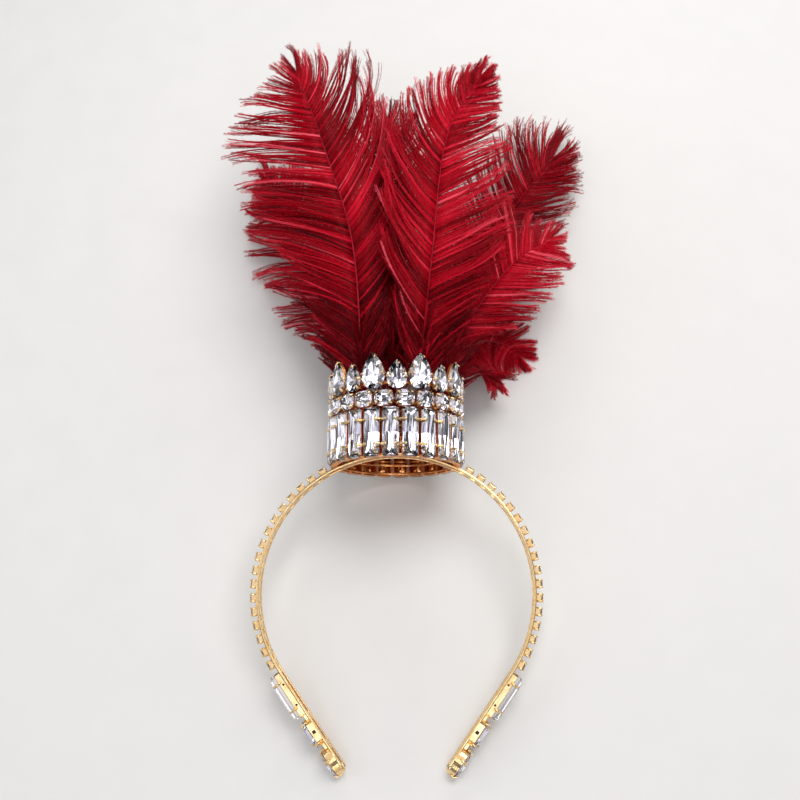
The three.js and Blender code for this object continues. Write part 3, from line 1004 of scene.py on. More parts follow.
    def end_frames(self, middle: float) -> Array:
        """Frames of a left and right end stone, lifted to the girdle.

        Args:
            middle: Length of the stone's middle from the band's top.
        Returns:
            Frames, shape (2, 4, 3).
        """
        frames = self.frames(np.array([-middle, middle]))
        frames[:, 0] += (self.end_height + self.seat) * frames[:, 3]
        return frames

    def end_spots(self, stone: Stone) -> Array:
        """Places the claws on an end stone's outline: a long stone's sides, a short one's corners.

        Args:
            stone: The stone.
        Returns:
            A spot for each claw.
        """
        if stone.cut is Cut.PEAR:
            return TIP_PEAR_CLAWS * stone.half
        if stone.is_long:
            return mirrored(*stone.half * [1.0, self.long_claw_place])
        return mirrored(*stone.half - stone.corner / 2.0)

    def hole_shade_discs(self, stone: Stone) -> Mesh:
        """Painted shade of the openings in a setting's long walls: flat dark discs just outside the walls,
        two round ones under a long stone, or one square.

        Args:
            stone: The stone in the setting.
        Returns:
            Corners and triangles.
        """
        middles = (-self.hole_place, self.hole_place) if stone.is_long else (0.0,)
        sides, radius = (self.hole_sides, self.hole_radius) if stone.is_long else (4, self.square_radius)
        turn = 2.0 * math.pi * (np.arange(sides) + 0.5) / sides
        y, z = radius * np.sin(turn), radius * np.cos(turn) + self.window_level
        points, faces = [], []
        for x in (-1.0, 1.0):
            wall = np.full(sides, x * (stone.half[0] + self.window_outset))
            for middle in middles:
                faces.append(fan(len(points) * sides + np.arange(sides)[::int(x)]))
                points.append(np.column_stack([wall, middle + y, z]))
        return np.concatenate(points), np.concatenate(faces)

    def slab(self, size: tuple[float, float], low: float, high: float) -> Mesh:
        """Plate or block with bevelled edges, for rungs and links.

        Args:
            size: Size across the band and along it.
            low: Height of its underside.
            high: Height of its top.
        Returns:
            Corners and triangles.
        """
        b = self.bevel
        form = Stone(Cut.STEP, *size, 2.0 * b)
        levels = ((b, low), (0.0, low + b), (0.0, high - b), (b, high))
        points = np.concatenate([raised(form.octagon(inset), z) for inset, z in levels])
        return points, outwards(points, capped(len(levels), 8))

    def build_stones(self, place: Placement, materials: list[bpy.types.Material]) -> None:
        """Builds the end stones and the small stones in the cups.

        Args:
            place: Where the headdress lies.
            materials: Glass and foil.
        """
        for name, (stone, middle) in self.end_stones.items():
            shape = Shape()
            shape.add_stones(stone, self.end_frames(middle))
            nodes = [f"end_{name}_left", f"end_{name}_right"]
            shape.build(f"end_{name}_stones", place, materials, "crystal", nodes)
        shape = Shape()
        frames = self.frames(self.cup_places())
        frames[:, 0] += self.cup_seat * frames[:, 3]
        shape.add_stones(self.cup_stone, frames)
        shape.build("band_stones", place, materials, "crystal", [])


@dataclass(frozen=True)
class StoneRow:
    """A row of stones round the crown: turn in degrees, and claw the reach of the claws over a stone."""

    count: int
    bottom: float
    turn: float
    stones: tuple[Stone, ...]
    claw: float
    lying: bool = False
    outset: float = 0.3
    thickness: float = 0.5
    flare: float = 0.0


@dataclass(frozen=True)
class Crown:
    """Round crown of three rows of stones in open gold settings."""

    girdle_radius: float = 33.0
    hoop_radius: float = 30.0
    hoop_levels: tuple[float, ...] = (1.7, 6.3, 18.7, 29.0, 37.0)
    hoop_half: tuple[float, float] = (0.6, 0.7)
    hoop_steps: tuple[int, int] = (8, 96)
    side_claw_place: float = 0.5
    corner_claw_place: tuple[float, float] = (0.76, 0.8)
    bar_pitch: float = 8.0
    bar_level: float = -3.1
    bar_radius: float = 0.45
    bar_inset: float = 0.2
    pear_bar: float = 0.8
    baguettes: StoneRow = StoneRow(22, 0.3, -2.2, (Stone(Cut.STEP, 8.0, 24.0, pavilion=1.8, keel=1.0),), 2.0,
                                   outset=0.95, thickness=0.66)
    octagons: StoneRow = StoneRow(20, 25.0, 9.8, (Stone(Cut.STEP, 7.8, 9.4, 2.0),), 0.9, True)
    pears: StoneRow = StoneRow(18, 33.2, 2.9, (Stone(Cut.PEAR, 9.8, 14.0, crown=1.3, pavilion=2.3),
                                               Stone(Cut.PEAR, 12.0, 18.0, crown=1.4, pavilion=2.3)), 1.0,
                               flare=math.radians(3.5))

    def frames(self, row: StoneRow, which: int) -> Array:
        """Frames of the stones of one size in a row: origin at the girdle, then right, up and out.

        Args:
            row: The row.
            which: Number of the size, in the order in which sizes take turns.
        Returns:
            Frames, shape (stones, 4, 3).
        """
        sizes = len(row.stones)
        stone = row.stones[which]
        turn = np.radians(row.turn + 360.0 * np.arange(which, row.count, sizes) / row.count)
        zero, one = np.zeros_like(turn), np.ones_like(turn)
        out = np.stack([np.sin(turn), zero, np.cos(turn)], -1)
        right = np.stack([np.cos(turn), zero, -np.sin(turn)], -1)
        up = np.stack([zero, one, zero], -1)
        height = stone.width if row.lying else stone.length
        origin = out * self.girdle_radius + up * row.bottom
        up, out = (up * math.cos(row.flare) + out * math.sin(row.flare),
                   out * math.cos(row.flare) - up * math.sin(row.flare))
        origin = origin + up * height / 2.0
        axes = (up, -right) if row.lying else (right, up)
        return np.stack([origin, *axes, out], 1)

    def claw_spots(self, row: StoneRow, stone: Stone) -> Array:
        """Places a stone's claws on its outline.

        Args:
            row: The row in which it is set.
            stone: The stone.
        Returns:
            A spot for each claw.
        """
        if stone.cut is Cut.PEAR:
            return CROWN_PEAR_CLAWS * stone.half
        return mirrored(*stone.half * (self.corner_claw_place if row.lying else [1.0, self.side_claw_place]))

    def build_metal(self, place: Placement, materials: list[bpy.types.Material]) -> None:
        """Builds hoops, open settings with crossbars, and claws as one soldered piece.

        Args:
            place: Where the headdress lies.
            materials: Gold, and the coppery gold with painted reflection and shade.
        """
        shape = Shape()
        # Slot 1 is the coppery gold with painted reflection and shade.
        for level in self.hoop_levels:
            shape.add(*self.hoop(level), 1)
        for row in (self.baguettes, self.octagons, self.pears):
            for which, stone in enumerate(row.stones):
                frames = self.frames(row, which)
                wall = PEAR_WALL if stone.cut is Cut.PEAR else CROWN_WALL
                shape.add(*placed(*stone.setting(wall), frames), 1, smooth=False)
                claws = stone.claws(self.claw_spots(row, stone), row.claw, row.thickness, row.outset)
                shape.add(*placed(*claws, frames))
                shape.add(*placed(*self.crossbars(stone), frames), 1)
        shape.build("crown_metal", place, materials, "gold", ["crown_frame"])

    def hoop(self, level: float) -> Mesh:
        """Ring of an oval section about the crown's axis.

        Args:
            level: Height of its middle on the crown.
        Returns:
            Corners and triangles.
        """
        section, turn = (np.linspace(0.0, 2.0 * math.pi, steps, endpoint=False) for steps in self.hoop_steps)
        thick, tall = self.hoop_half
        radius = self.hoop_radius + thick * np.cos(section)[:, None]
        height = level + tall * np.sin(section)[:, None]
        rings = np.broadcast_arrays(radius * np.sin(turn), height, radius * np.cos(turn))
        points = np.stack(rings, -1).reshape(-1, 3)
        return points, outwards(points, grid_faces(*self.hoop_steps, wrap_rows=True))

    def crossbars(self, stone: Stone) -> Mesh:
        """Bars across the back of a setting, one less than the pitches in its length and at least one.

        Args:
            stone: The stone in the setting.
        Returns:
            Corners and triangles.
        """
        bars = max(1, round(stone.length / self.bar_pitch) - 1)
        y = stone.length * ((np.arange(bars) + 1.0) / (bars + 1.0) - 0.5)
        share = self.pear_bar if stone.cut is Cut.PEAR else 1.0
        x = np.array([-1.0, 1.0]) * (stone.half[0] - self.bar_inset) * share
        paths = np.stack(np.broadcast_arrays(x[None, :], y[:, None], np.full((bars, 2), self.bar_level)), -1)
        across = np.broadcast_to(np.array([0.0, 1.0, 0.0]), (bars, 3))
        return tubes(paths, np.full((bars, 2), self.bar_radius), WIRE_SIDES, across)

    def build_stones(self, place: Placement, materials: list[bpy.types.Material]) -> None:
        """Builds the three rows of stones, one piece each.

        Args:
            place: Where the headdress lies.
            materials: Glass and foil.
        """
        rows = {
            "baguette_stones": (self.baguettes, ["baguette_row"]),
            "octagon_stones": (self.octagons, self.names("octagon", self.octagons.count)),
            "pear_stones": (self.pears, self.names("pear", self.pears.count)),
        }
        for name, (row, nodes) in rows.items():
            shape = Shape()
            for which, stone in enumerate(row.stones):
                shape.add_stones(stone, self.frames(row, which))
            shape.build(name, place, materials, "crystal", nodes)

    @staticmethod
    def names(kind: str, count: int) -> list[str]:
        """Names of the numbered nodes of a row."""
        return [f"{kind}_{i + 1:02d}" for i in range(count)]


@dataclass(frozen=True)
class Growth:
    """How the barbs of every plume grow. Shares run along the quill or along a barb.

    bend_scatter, stray, wave_phase, curl and lean are spreads of normal draws for a tuft, a clump and a
    single barb, with strays and leans in degrees. A range is where a change begins and ends, but lean_range,
    clump_length and down_length are a least value and what is added to it.
    """

    quill_radius: float = 1.0
    quill_taper: tuple[float, float] = (0.75, 0.7)
    quill_gap: float = 0.3
    quill_steps: int = 240
    quill_stride: int = 4
    last_barb: float = 0.995
    first_brush: float = 0.88
    opens: float = 0.17
    angle_opens: tuple[float, float] = (0.65, 0.42)
    reach_opens: float = 0.5
    sine_range: tuple[float, float] = (0.45, 1.4)
    tuft_length: tuple[float, float, float] = (0.95, 0.14, 0.05)
    clump_length: tuple[float, float] = (0.84, 0.18)
    closing: float = 0.25
    tip_closing: tuple[float, float] = (0.55, 0.9)
    bend_scatter: tuple[float, ...] = (0.12,)
    tip_bend: float = 0.45
    tip_bend_range: tuple[float, float] = (0.5, 0.95)
    bend_pivot: float = 0.35
    stray: tuple[float, ...] = (6.0, 7.0, 6.0)
    stray_power: float = 1.5
    wave: tuple[float, float] = (0.14, 5.0)
    wave_phase: tuple[float, ...] = (2.0, 0.6)
    curl: tuple[float, ...] = (0.16, 0.16, 0.08)
    curl_power: int = 3
    lean: tuple[float, ...] = (4.5, 4.5, 3.5)
    lean_range: tuple[float, float] = (0.15, 1.05)
    tightens: float = 0.75
    tighten_range: tuple[float, float] = (0.8, 0.95)
    clump_draw: tuple[float, float] = (0.62, 0.0)
    tuft_draw: tuple[float, float] = (0.42, 0.4)
    down_end: float = 0.30
    down_angle: tuple[float, float] = (28.0, 8.0)
    down_opening: float = 0.5
    down_length: tuple[float, float] = (17.0, 7.0)
    lift_softness: float = 1.5


@dataclass(frozen=True)
class Strand:
    """Thickness of the barbs, form of the barbules along them and how their tint varies, 0 dark to 1 light:
    dye tones that differ at random, painted shade at the plume's foot and on some plumes, painted highlights
    on some clumps, and lighter tips.

    barbule_range and barbule_size are a least value and what is added to it by a random draw.
    """

    radius: float = 0.35
    taper: tuple[float, float] = (0.25, 1.5)
    twist: float = 0.6
    barbule_range: tuple[float, float] = (0.04, 0.95)
    barbule_size: tuple[float, float] = (1.35, 2.1)
    barbule_taper: float = 0.3
    barbule_lean: float = 1.8
    barbule_foot: float = 0.16
    barbule_lift: tuple[float, float] = (0.3, 0.5)
    dye_and_shade: float = 0.55
    tuft_dye: float = 0.05
    clump_dye: float = 0.14
    # Clumps made lighter still are painted highlights, glints of lit strands.
    painted_glint: tuple[float, float] = (0.16, 0.9)
    barb_dye: float = 0.06
    # Darkening near the quill's foot is painted shade.
    foot_painted_shade: float = 0.36
    foot_shade_range: tuple[float, float] = (0.18, 0.55)
    tip_gain: tuple[float, float] = (0.16, 0.4)
    barbule_dye: float = 0.05
    barbule_tip_gain: float = 0.08


GROWTH = Growth()
STRAND = Strand()


@dataclass(frozen=True)
class Vane:
    """One side of a plume.

    reach is its greatest half-width, angle the barbs' angle to the quill in degrees and bend how that angle
    changes along a barb. The reach is gained by open_by and falls from full, both shares of the quill.
    """

    reach: float
    angle: float
    bend: float
    full: float = 0.66
    open_by: float = 0.5


@dataclass(frozen=True)
class Plume:
    """An ostrich plume: a quill through knots, barbs to both sides, barbules along them, down at its foot."""

    name: str
    foot: tuple[float, float]
    shaft: tuple[Point, Point, Point]
    tip: Point
    left: Vane
    right: Vane
    barbs: int
    seed: int
    crest: float = 0.3
    # Darkens the plume's whole tint: painted shade for plumes that lie behind or away from the key light.
    shade: float = 0.0
    brush: int = 0
    down: int = 70
    sag: float = 0.10
    steps: int = 9
    barbules: int = 80
    clump: int = 3
    tuft: int = 24
    first_barb: float = 0.16
    first_down: float = 0.15
    floor_gap: float = 0.8

    def quill(self, places: Array, start_y: float) -> Array:
        """Points of the quill by cubic pieces through its knots, each knot's slope set by its neighbours.

        Args:
            places: Places from 0 at the foot to 1 at the tip.
            start_y: Height of the foot on the band.
        Returns:
            Points, one row each.
        """
        knots = np.array([(self.foot[0], start_y, self.foot[1]), *self.shaft, self.tip])
        slopes = np.gradient(knots, axis=0)
        i = np.minimum((places * (len(knots) - 1)).astype(int), len(knots) - 2)
        x = (places * (len(knots) - 1) - i)[:, None]
        first = (2 * x**3 - 3 * x**2 + 1) * knots[i] + (x**3 - 2 * x**2 + x) * slopes[i]
        return first + (3 * x**2 - 2 * x**3) * knots[i + 1] + (x**3 - x**2) * slopes[i + 1]

    def build(self, band: Headband, place: Placement, materials: list[bpy.types.Material]) -> None:
        """Builds the plume as one piece.

        Args:
            band: The headband on which the quill stands.
            place: Where the headdress lies.
            materials: The barbs' dye with painted shade and highlights, and horn.
        """
        rng = np.random.default_rng(self.seed)
        g = GROWTH
        outer = band.radius + band.rail / 2.0
        inner_edge = max(abs(self.foot[0]) - g.quill_radius, 0.0)
        start_y = band.centre_y + math.sqrt(outer**2 - inner_edge**2) + g.quill_gap
        fine = np.linspace(0.0, 1.0, g.quill_steps)
        line = place.lifted(self.quill(fine, start_y), self.floor_gap, g.lift_softness)
        shape = Shape()
        taper, power = g.quill_taper
        thickness = g.quill_radius - taper * fine**power
        rings = slice(None, None, g.quill_stride)
        across = np.array([[1.0, 0.0, 0.0]])
        shape.add(*tubes(line[None, rings], thickness[None, rings], WIRE_SIDES, across), 1)
        for side, vane in ((-1.0, self.left), (1.0, self.right)):
            share = np.sort(np.concatenate([self.spaced(rng, self.barbs, self.first_barb, g.last_barb),
                                            self.spaced(rng, self.brush, g.first_brush, g.last_barb)]))
            curves = self.vane_curves(rng, place, share, self.rooted(fine, line, share), side, vane)
            self.add_barbs(rng, place, shape, curves, share)
        share = self.spaced(rng, self.down, self.first_down, g.down_end)
        curves = self.down_curves(rng, place, self.rooted(fine, line, share))
        self.add_barbs(rng, place, shape, curves, share)
        shape.build(f"{self.name}_barbs", place, materials, "plume", [self.name])

    @staticmethod
    def spaced(rng: np.random.Generator, count: int, low: float, high: float) -> Array:
        """Places at even steps from low to high, each moved a little."""
        return low + (high - low) * (np.arange(count) + rng.random(count)) / count

    @staticmethod
    def rooted(fine: Array, line: Array, share: Array) -> tuple[Array, Array, Array]:
        """Finds where barbs leave the quill.

        Args:
            fine: Places along the quill.
            line: The quill's points at those places.
            share: Each barb's place along the quill.
        Returns:
            Roots, the quill's direction there, and the way to the front across it.
        """
        slope = unit(np.gradient(line, axis=0))
        root = np.stack([np.interp(share, fine, line[:, k]) for k in range(3)], -1)
        along = unit(np.stack([np.interp(share, fine, slope[:, k]) for k in range(3)], -1))
        front = unit(np.array([0.0, 0.0, 1.0]) - along * along[:, 2:])
        return root, along, front

    def vane_curves(self, rng: np.random.Generator, place: Placement, share: Array,
                    roots: tuple[Array, Array, Array], side: float, vane: Vane) -> Array:
        """Curves of one side's barbs, drooping and kept over the floor.

        A barb leaves the quill at an angle that changes along its length. Neighbours in a clump draw together
        early, and clumps draw together in wider tufts near their tips.

        Args:
            rng: Source of the seeded draws.
            place: Where the headdress lies.
            share: Each barb's place along the quill.
            roots: Root, quill direction and front of each barb.
            side: -1 for the left, 1 for the right.
            vane: Reach, angle and bend of that side.
        Returns:
            Points, shape (barbs, steps, 3).
        """
        root, along, front = roots
        count = len(share)
        every = np.arange(count)
        clump, tuft = every // self.clump, every // self.tuft
        g = GROWTH

        def scattered(spreads: tuple[float, ...], tuft_share: float | Array = 1.0) -> Array:
            """Sums normal draws, one for each tuft, then each clump, then each barb.

            Args:
                spreads: Spread of the draws of each kind, in that order.
                tuft_share: What the draws of the tufts count for.
            Returns:
                A number for each barb.
            """
            groups = zip(spreads, (tuft, clump, every))
            draws = [spread * rng.standard_normal(count)[group] for spread, group in groups]
            return tuft_share * draws[0] + sum(draws[1:])

        ending = smoothstep(vane.full, 1.0, share)
        loose = 1.0 - g.tightens * smoothstep(*g.tighten_range, share)
        first, open_by = g.angle_opens
        angle = np.radians(vane.angle) * (first + (1.0 - first) * smoothstep(g.opens, open_by, share))
        opening = g.reach_opens + (1.0 - g.reach_opens) * smoothstep(g.opens, vane.open_by, share)
        reach = vane.reach * opening * (1.0 - (1.0 - self.crest) * ending)
        length = reach / np.sin(np.clip(angle, *g.sine_range))
        inside = 1.0 - np.abs(2.0 * (every % self.tuft + 0.5) / self.tuft - 1.0)
        least, bulge, spread = g.tuft_length
        length = length * (least + bulge * inside + scattered((spread,)))
        least, more = g.clump_length
        length = length * (least + more * rng.random(count)[clump])
        closing, begin = g.tip_closing
        angle = angle * (1.0 - g.closing * ending - closing * smoothstep(begin, 1.0, share))
        s = np.linspace(0.0, 1.0, self.steps)
        bend = vane.bend + scattered(g.bend_scatter) - g.tip_bend * smoothstep(*g.tip_bend_range, share)
        stray = np.radians(scattered(g.stray, loose))[:, None] * s**g.stray_power
        swing, turns = g.wave
        wave = swing * np.sin(turns * s + scattered(g.wave_phase)[:, None]) * s
        curl = scattered(g.curl)[:, None] * s**g.curl_power
        phi = angle[:, None] * (1.0 + bend[:, None] * (s - g.bend_pivot)) + stray + wave + curl
        least, more = g.lean_range
        psi = np.radians(scattered(g.lean))[:, None] * (least + more * s)
        across = side * np.cross(along, front)
        step = (np.cos(phi) * np.cos(psi))[..., None] * along[:, None]
        step = step + (np.sin(phi) * np.cos(psi))[..., None] * across[:, None]
        step = step + np.sin(psi)[..., None] * front[:, None]
        groups = tuple((group, size, draw * loose, begin) for group, size, (draw, begin) in
                       ((clump, self.clump, g.clump_draw), (tuft, self.tuft, g.tuft_draw)))
        return self.laid(place, root, step, length, s, groups)

    def down_curves(self, rng: np.random.Generator, place: Placement,
                    roots: tuple[Array, Array, Array]) -> Array:
        """Curves of the soft down that fills the crown's mouth, at all turns round the quill's foot.

        Args:
            rng: Source of the seeded draws.
            place: Where the headdress lies.
            roots: Root, quill direction and front of each curve.
        Returns:
            Points, shape (curves, steps, 3).
        """
        root, along, front = roots
        count = len(root)
        g = GROWTH
        s = np.linspace(0.0, 1.0, self.steps)
        turn = 2.0 * math.pi * rng.random(count)[:, None]
        away = np.cos(turn) * front + np.sin(turn) * np.cross(along, front)
        middle, spread = g.down_angle
        phi = np.radians(middle + spread * rng.standard_normal(count))[:, None] * (1.0 + g.down_opening * s)
        step = np.cos(phi)[..., None] * along[:, None] + np.sin(phi)[..., None] * away[:, None]
        least, more = g.down_length
        return self.laid(place, root, step, least + more * rng.random(count), s, ())

    def laid(self, place: Placement, root: Array, step: Array, length: Array, s: Array,
             groups: tuple[tuple[Array, int, Array, float], ...]) -> Array:
        """Sums unit steps to curves, draws groups together, lets the tips sag and lifts them off the floor.

        Args:
            place: Where the headdress lies.
            root: Root of each curve.
            step: Direction of each step.
            length: Length of each curve.
            s: Places along a curve.
            groups: Group of each curve, size of a group, greatest draw and where along a curve it begins.
        Returns:
            Points, shape (curves, steps, 3).
        """
        scaled = step[:, :-1] * (length / (len(s) - 1))[:, None, None]
        curves = root[:, None] + np.concatenate([np.zeros_like(scaled[:, :1]), np.cumsum(scaled, 1)], 1)
        for group, size, most, begin in groups:
            middle = np.minimum(group * size + size // 2, len(root) - 1)
            draw = most[:, None, None] * smoothstep(begin, 1.0, s)[None, :, None]
            curves = curves * (1.0 - draw) + curves[middle] * draw
        fall = self.sag * length[:, None] * s**2
        return place.lifted(curves - fall[..., None] * place.turn[2], self.floor_gap, GROWTH.lift_softness)

    def add_barbs(self, rng: np.random.Generator, place: Placement, shape: Shape, curves: Array,
                  share: Array) -> None:
        """Adds the barbs as fine three-sided tubes and the barbules as blades along them.

        Args:
            rng: Source of the seeded draws.
            place: Where the headdress lies.
            shape: The plume's triangles.
            curves: The barbs' points.
            share: Each barb's place along the quill.
        """
        count, steps, _ = curves.shape
        k = STRAND
        row = np.arange(count)
        s = np.linspace(0.0, 1.0, steps)
        taper, power = k.taper
        radii = np.broadcast_to(k.radius - taper * s**power, (count, steps))
        facing = unit(np.array([0.0, 0.0, 1.0]) + k.twist * rng.standard_normal((count, 3)))
        points, faces = tubes(curves, radii, 3, facing)
        # Dye tones that differ at random by tuft, clump and barb, plus the plume's shade, which is painted
        # shade.
        dye_and_shade = k.dye_and_shade + self.shade + k.tuft_dye * rng.standard_normal(count)[row // self.tuft]
        lift = rng.standard_normal(count)[row // self.clump]
        # Clumps drawn past 0.9 turn lighter still: painted highlights for glints of lit strands.
        bright, over = k.painted_glint
        dye_and_shade = dye_and_shade + k.clump_dye * lift + bright * np.maximum(lift - over, 0.0)
        dye_and_shade = dye_and_shade + k.barb_dye * rng.standard_normal(count)
        # Darker near the quill's foot: painted shade where the plumes crowd into the crown.
        dye_and_shade = dye_and_shade - k.foot_painted_shade * (1.0 - smoothstep(*k.foot_shade_range, share))
        # Lighter toward each barb's tip, darker at its root.
        gain, even = k.tip_gain
        tint = dye_and_shade[:, None] + gain * (s - even)
        shape.add(points, faces, 0, True, np.clip(np.repeat(tint.ravel(), 3), 0.0, 1.0))
        many = (count, self.barbules)
        least, more = k.barbule_range
        at = least + more * rng.random(many)
        cell = np.minimum((at * (steps - 1)).astype(int), steps - 2)
        part = (at * (steps - 1) - cell)[..., None]
        before, after = curves[row[:, None], cell], curves[row[:, None], cell + 1]
        base = before * (1 - part) + after * part
        along = unit(after - before)
        aside = unit(np.cross(along, rng.standard_normal((*many, 3))))
        least, more = k.barbule_size
        size = (least + more * rng.random(many)) * (1.0 - k.barbule_taper * at)
        tip = place.lifted(base + size[..., None] * unit(along * k.barbule_lean + aside), *k.barbule_lift)
        foot = k.barbule_foot * along
        blades = np.stack([base - foot, base + foot, tip], 2).reshape(-1, 3)
        hue = dye_and_shade[:, None] + gain * (at - even) + k.barbule_dye * rng.standard_normal(many)
        hue = np.clip(hue, 0.0, 1.0)
        hues = np.stack([hue, hue, np.clip(hue + k.barbule_tip_gain, 0.0, 1.0)], -1)
        shape.add(blades, np.arange(len(blades)).reshape(-1, 3), 0, True, hues.ravel())


# The tenth value of each plume is its shade: painted shade that darkens its tint.
PLUMES = (
    Plume("plume_front_left", (-17.0, 3.0), ((-18, 57, 4), (-23, 120, 5), (-39, 176, 0)), (-57, 230, -10),
          Vane(50.0, 62.0, 0.2, 0.74), Vane(40.0, 34.0, -1.0, 0.73), 540, 11, 0.36, -0.09, tuft=18),
    Plume("plume_front_right", (13.0, 3.0), ((14, 59, 7), (19, 108, 15), (27, 174, 13)), (46, 216, 3),
          Vane(34.0, 36.0, -0.9, 0.6), Vane(41.0, 58.0, 0.0, 0.5), 560, 12, 0.33, -0.03, brush=50, tuft=14),
    Plume("plume_centre", (-2.0, -2.5), ((-2, 59, -3), (-3, 115, -10), (-4, 164, -16)), (-6, 208, -24),
          Vane(38.0, 38.0, -0.5), Vane(38.0, 38.0, -0.5), 340, 13, 0.35, -0.18, down=200, first_down=0.09),
    Plume("plume_back_left", (-21.0, -2.5), ((-26, 59, -9), (-44, 108, -37), (-66, 158, -58)),
          (-84, 196, -70), Vane(30.0, 54.0, 0.2), Vane(38.0, 38.0, -0.5), 400, 14, 0.35, -0.05),
    Plume("plume_back_right", (18.0, -2.5), ((23, 59, -7), (40, 107, -26), (64, 156, -42)), (93, 200, -58),
          Vane(37.0, 42.0, -0.4, 0.86), Vane(31.0, 46.0, -0.1), 480, 15, 0.62, -0.22, brush=70, clump=2,
          tuft=12),
    Plume("plume_low_right", (20.5, 3.0), ((26, 57, 1), (42, 85, -4), (63, 114, -12)), (86, 134, -25),
          Vane(32.0, 42.0, -0.1), Vane(28.0, 50.0, 0.0), 320, 16, 0.4),
    Plume("plume_droop_right", (23.5, -1.0), ((28, 55, -8), (42, 73, -26), (56, 78, -40)), (69, 72, -47),
          Vane(22.0, 46.0, 0.1), Vane(32.0, 100.0, -0.3, 0.6, 0.25), 280, 17, 0.36),
)


@dataclass(frozen=True)
class SoftLight:
    """A rectangular soft light: where it hangs and aims, its size in metres, its watts and its colour."""

    name: str
    at: Point
    aim: Point
    size: tuple[float, float]
    power: float
    colour: Colour = (1.0, 1.0, 1.0)

    def hang(self) -> None:
        """Adds the light, unseen by the camera."""
        data = bpy.data.lights.new(self.name, "AREA")
        data.shape = "RECTANGLE"
        data.size, data.size_y = self.size
        data.energy = self.power
        data.color = self.colour
        made = bpy.data.objects.new(self.name, data)
        back = unit(np.array(self.at) - np.array(self.aim))
        right = unit(np.cross(NEARLY_Y, back))
        matrix = np.eye(4)
        matrix[:3, :3] = np.stack([right, np.cross(back, right), back], -1)
        matrix[:3, 3] = self.at
        made.matrix_world = Matrix(matrix.tolist())
        made.visible_camera = False
        bpy.context.scene.collection.objects.link(made)


# The way that a light's second side stays near, a little off y so that no light points along it.
NEARLY_Y = (0.0, 1.0, 0.001)

WARM_WHITE = (1.0, 0.99, 0.97)
LIGHTS = (
    SoftLight("key", (0.25, 0.32, 0.9), (0.0, 0.02, 0.03), (0.8, 0.55), 6.4, (1.0, 0.98, 0.95)),
    SoftLight("fill", (-0.75, 0.05, 0.65), (0.0, 0.0, 0.03), (0.6, 0.7), 1.7, (0.95, 0.97, 1.0)),
    SoftLight("strip", (0.1, 0.85, 0.5), (0.0, 0.05, 0.05), (1.0, 0.35), 2.4),
    SoftLight("front", (0.0, -0.55, 0.85), (0.0, -0.06, 0.04), (0.9, 0.36), 2.0),
    SoftLight("overhead", (0.0, -0.18, 0.95), (0.0, -0.06, 0.04), (0.8, 0.35), 0.7, (0.94, 0.92, 1.0)),
    SoftLight("low", (0.0, -0.9, 0.25), (0.0, -0.02, 0.04), (0.6, 0.2), 1.2, WARM_WHITE),
    SoftLight("left_strip", (-0.9, -0.2, 0.2), (0.0, -0.1, 0.02), (0.25, 0.9), 1.1, WARM_WHITE),
    SoftLight("right_strip", (0.9, -0.2, 0.2), (0.0, -0.1, 0.02), (0.25, 0.9), 1.1, WARM_WHITE),
)


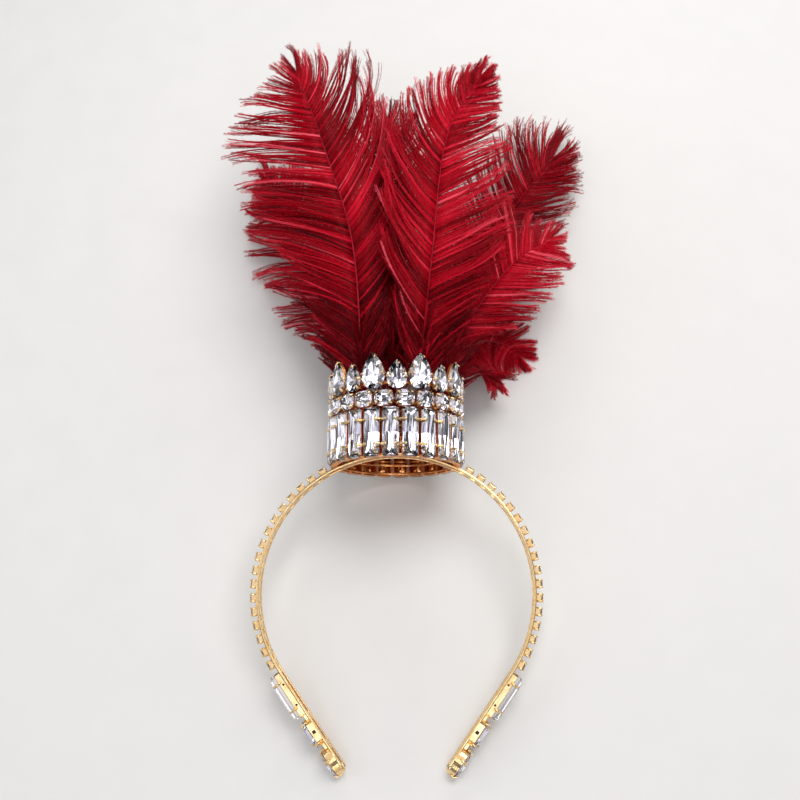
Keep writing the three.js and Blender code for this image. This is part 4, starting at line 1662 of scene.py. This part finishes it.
@dataclass(frozen=True)
class Studio:
    """Pale floor, soft lights and the camera, fitted to the photograph's frame."""

    frame_pixels: float = 800.0
    focal_pixels: float = 900.0
    axis_pixel: tuple[float, float] = (400.0, 456.0)
    crown_pixel: tuple[float, float] = (396.0, 468.0)
    crown_scale: float = 0.5075
    tilt: float = math.radians(10.3)
    yaw: float = math.radians(2.0)
    sensor: float = 36.0
    sky_colour: Colour = (0.93, 0.95, 1.0)
    sky_light: float = 0.08
    sky_seen: float = 0.8
    floor_reach: float = 6.0
    floor_cells: int = 12

    def camera(self, place: Placement) -> None:
        """Sets the camera: it looks at the crown from a little below, and the crown's foot meets its pixel.

        Args:
            place: Where the headdress lies.
        """
        look = np.array([-math.sin(self.yaw) * math.cos(self.tilt), math.sin(self.tilt),
                         -math.cos(self.yaw) * math.cos(self.tilt)])
        right = unit(np.cross(look, [0.0, 1.0, 0.0]))
        up = np.cross(right, look)
        x, y = (np.array(self.crown_pixel) - self.axis_pixel) / self.focal_pixels
        eye = -(look + x * right - y * up) * self.focal_pixels * self.crown_scale
        data = bpy.data.cameras.new("camera")
        data.sensor_width = self.sensor
        data.lens = self.sensor * self.focal_pixels / self.frame_pixels
        data.shift_y = (self.axis_pixel[1] - self.frame_pixels / 2.0) / self.frame_pixels
        data.clip_start = 0.01
        made = bpy.data.objects.new("camera", data)
        axes = np.stack([right, up, -look]) @ place.turn.T
        matrix = np.eye(4)
        matrix[:3, :3] = axes.T
        matrix[:3, 3] = place.to_world(eye)
        made.matrix_world = Matrix(matrix.tolist())
        bpy.context.scene.collection.objects.link(made)
        bpy.context.scene.camera = made

    def light(self) -> None:
        """Hangs the lights and sets a sky that the camera sees brighter than it shines."""
        for lamp in LIGHTS:
            lamp.hang()
        world = bpy.data.worlds.new("studio")
        world.use_nodes = True
        bpy.context.scene.world = world
        nodes = NodeTree(world.node_tree)
        world.node_tree.nodes.clear()
        seen = nodes.add("ShaderNodeLightPath").outputs["Is Camera Ray"]
        strength = nodes.add("ShaderNodeMapRange",
                             {"Value": seen, "To Min": self.sky_light, "To Max": self.sky_seen})
        sky = nodes.add("ShaderNodeBackground", {"Color": (*self.sky_colour, 1.0),
                                                 "Strength": strength.outputs["Result"]})
        nodes.add("ShaderNodeOutputWorld", {"Surface": sky.outputs["Background"]})
        bpy.context.scene.view_settings.view_transform = "Standard"

    def floor(self, paper: bpy.types.Material) -> None:
        """Adds the floor: a wide grid at z = 0.

        Args:
            paper: Its material.
        """
        cells = self.floor_cells
        side = np.linspace(-self.floor_reach, self.floor_reach, cells + 1)
        x, y = np.meshgrid(side, side)
        points = np.stack([x, y, np.zeros_like(x)], -1).reshape(-1, 3)
        corner = (np.arange(cells)[:, None] * (cells + 1) + np.arange(cells)).ravel()
        faces = np.stack([corner, corner + 1, corner + cells + 2, corner + cells + 1], -1)
        mesh = bpy.data.meshes.new("floor")
        mesh.from_pydata(points.tolist(), [], faces.tolist())
        mesh.materials.append(paper)
        made = bpy.data.objects.new("floor", mesh)
        bpy.context.scene.collection.objects.link(made)


def find_place(band: Headband, crown: Crown) -> Placement:
    """Works out where the headdress lies from a mount that the record gives on the right arm.

    Args:
        band: The headband's sizes.
        crown: The crown's sizes.
    Returns:
        The slope at which rim and tips meet the floor, and the shift that carries the mount to its place.
    """
    tip = band.frames(np.array([band.arc + band.arm]))[0, 0]
    stone = crown.baguettes.stones[0]
    rim_y = crown.baguettes.bottom + stone.crown
    rim_z = crown.girdle_radius + stone.crown
    slope = math.atan((rim_z - band.width / 2.0) / (rim_y - tip[1]))
    origin, _, _, out = band.frames(np.array([band.mount_place]))[0]
    local = origin - out * band.rail / 2.0 + [0.0, 0.0, band.width / 2.0 - band.rail / 2.0]
    mount = next(m for m in frame["record"]["mounts"] if m["name"] == "right_arm_inner")
    turned = Placement(slope, np.zeros(3)).turn @ local
    return Placement(slope, np.array(mount["pos_m"]) / MM - turned)


def main() -> None:
    """Builds the studio and every piece of the headdress."""
    logging.basicConfig(level=logging.INFO, format="%(name)s: %(message)s")
    band, crown, studio = Headband(), Crown(), Studio()
    place = find_place(band, crown)
    studio.camera(place)
    studio.light()
    studio.floor(FloorPaper().build())
    gold = GoldPlate().build()
    # Coppery copy of the gold with painted reflection and shade.
    warm = GOLD_WITH_PAINTED_REFLECTION.build()
    stone = [CutGlass().build(), FoilBack().build()]
    feather = [PlumeDyeAndPaintedLight().build(), QuillHorn().build()]
    crown.build_metal(place, [gold, warm])
    crown.build_stones(place, stone)
    band.build_metal(place, [gold, warm, PaintedHoleShade().build()])
    band.build_stones(place, stone)
    for plume in PLUMES:
        plume.build(band, place, feather)
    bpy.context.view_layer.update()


if __name__ == "__main__":
    main()
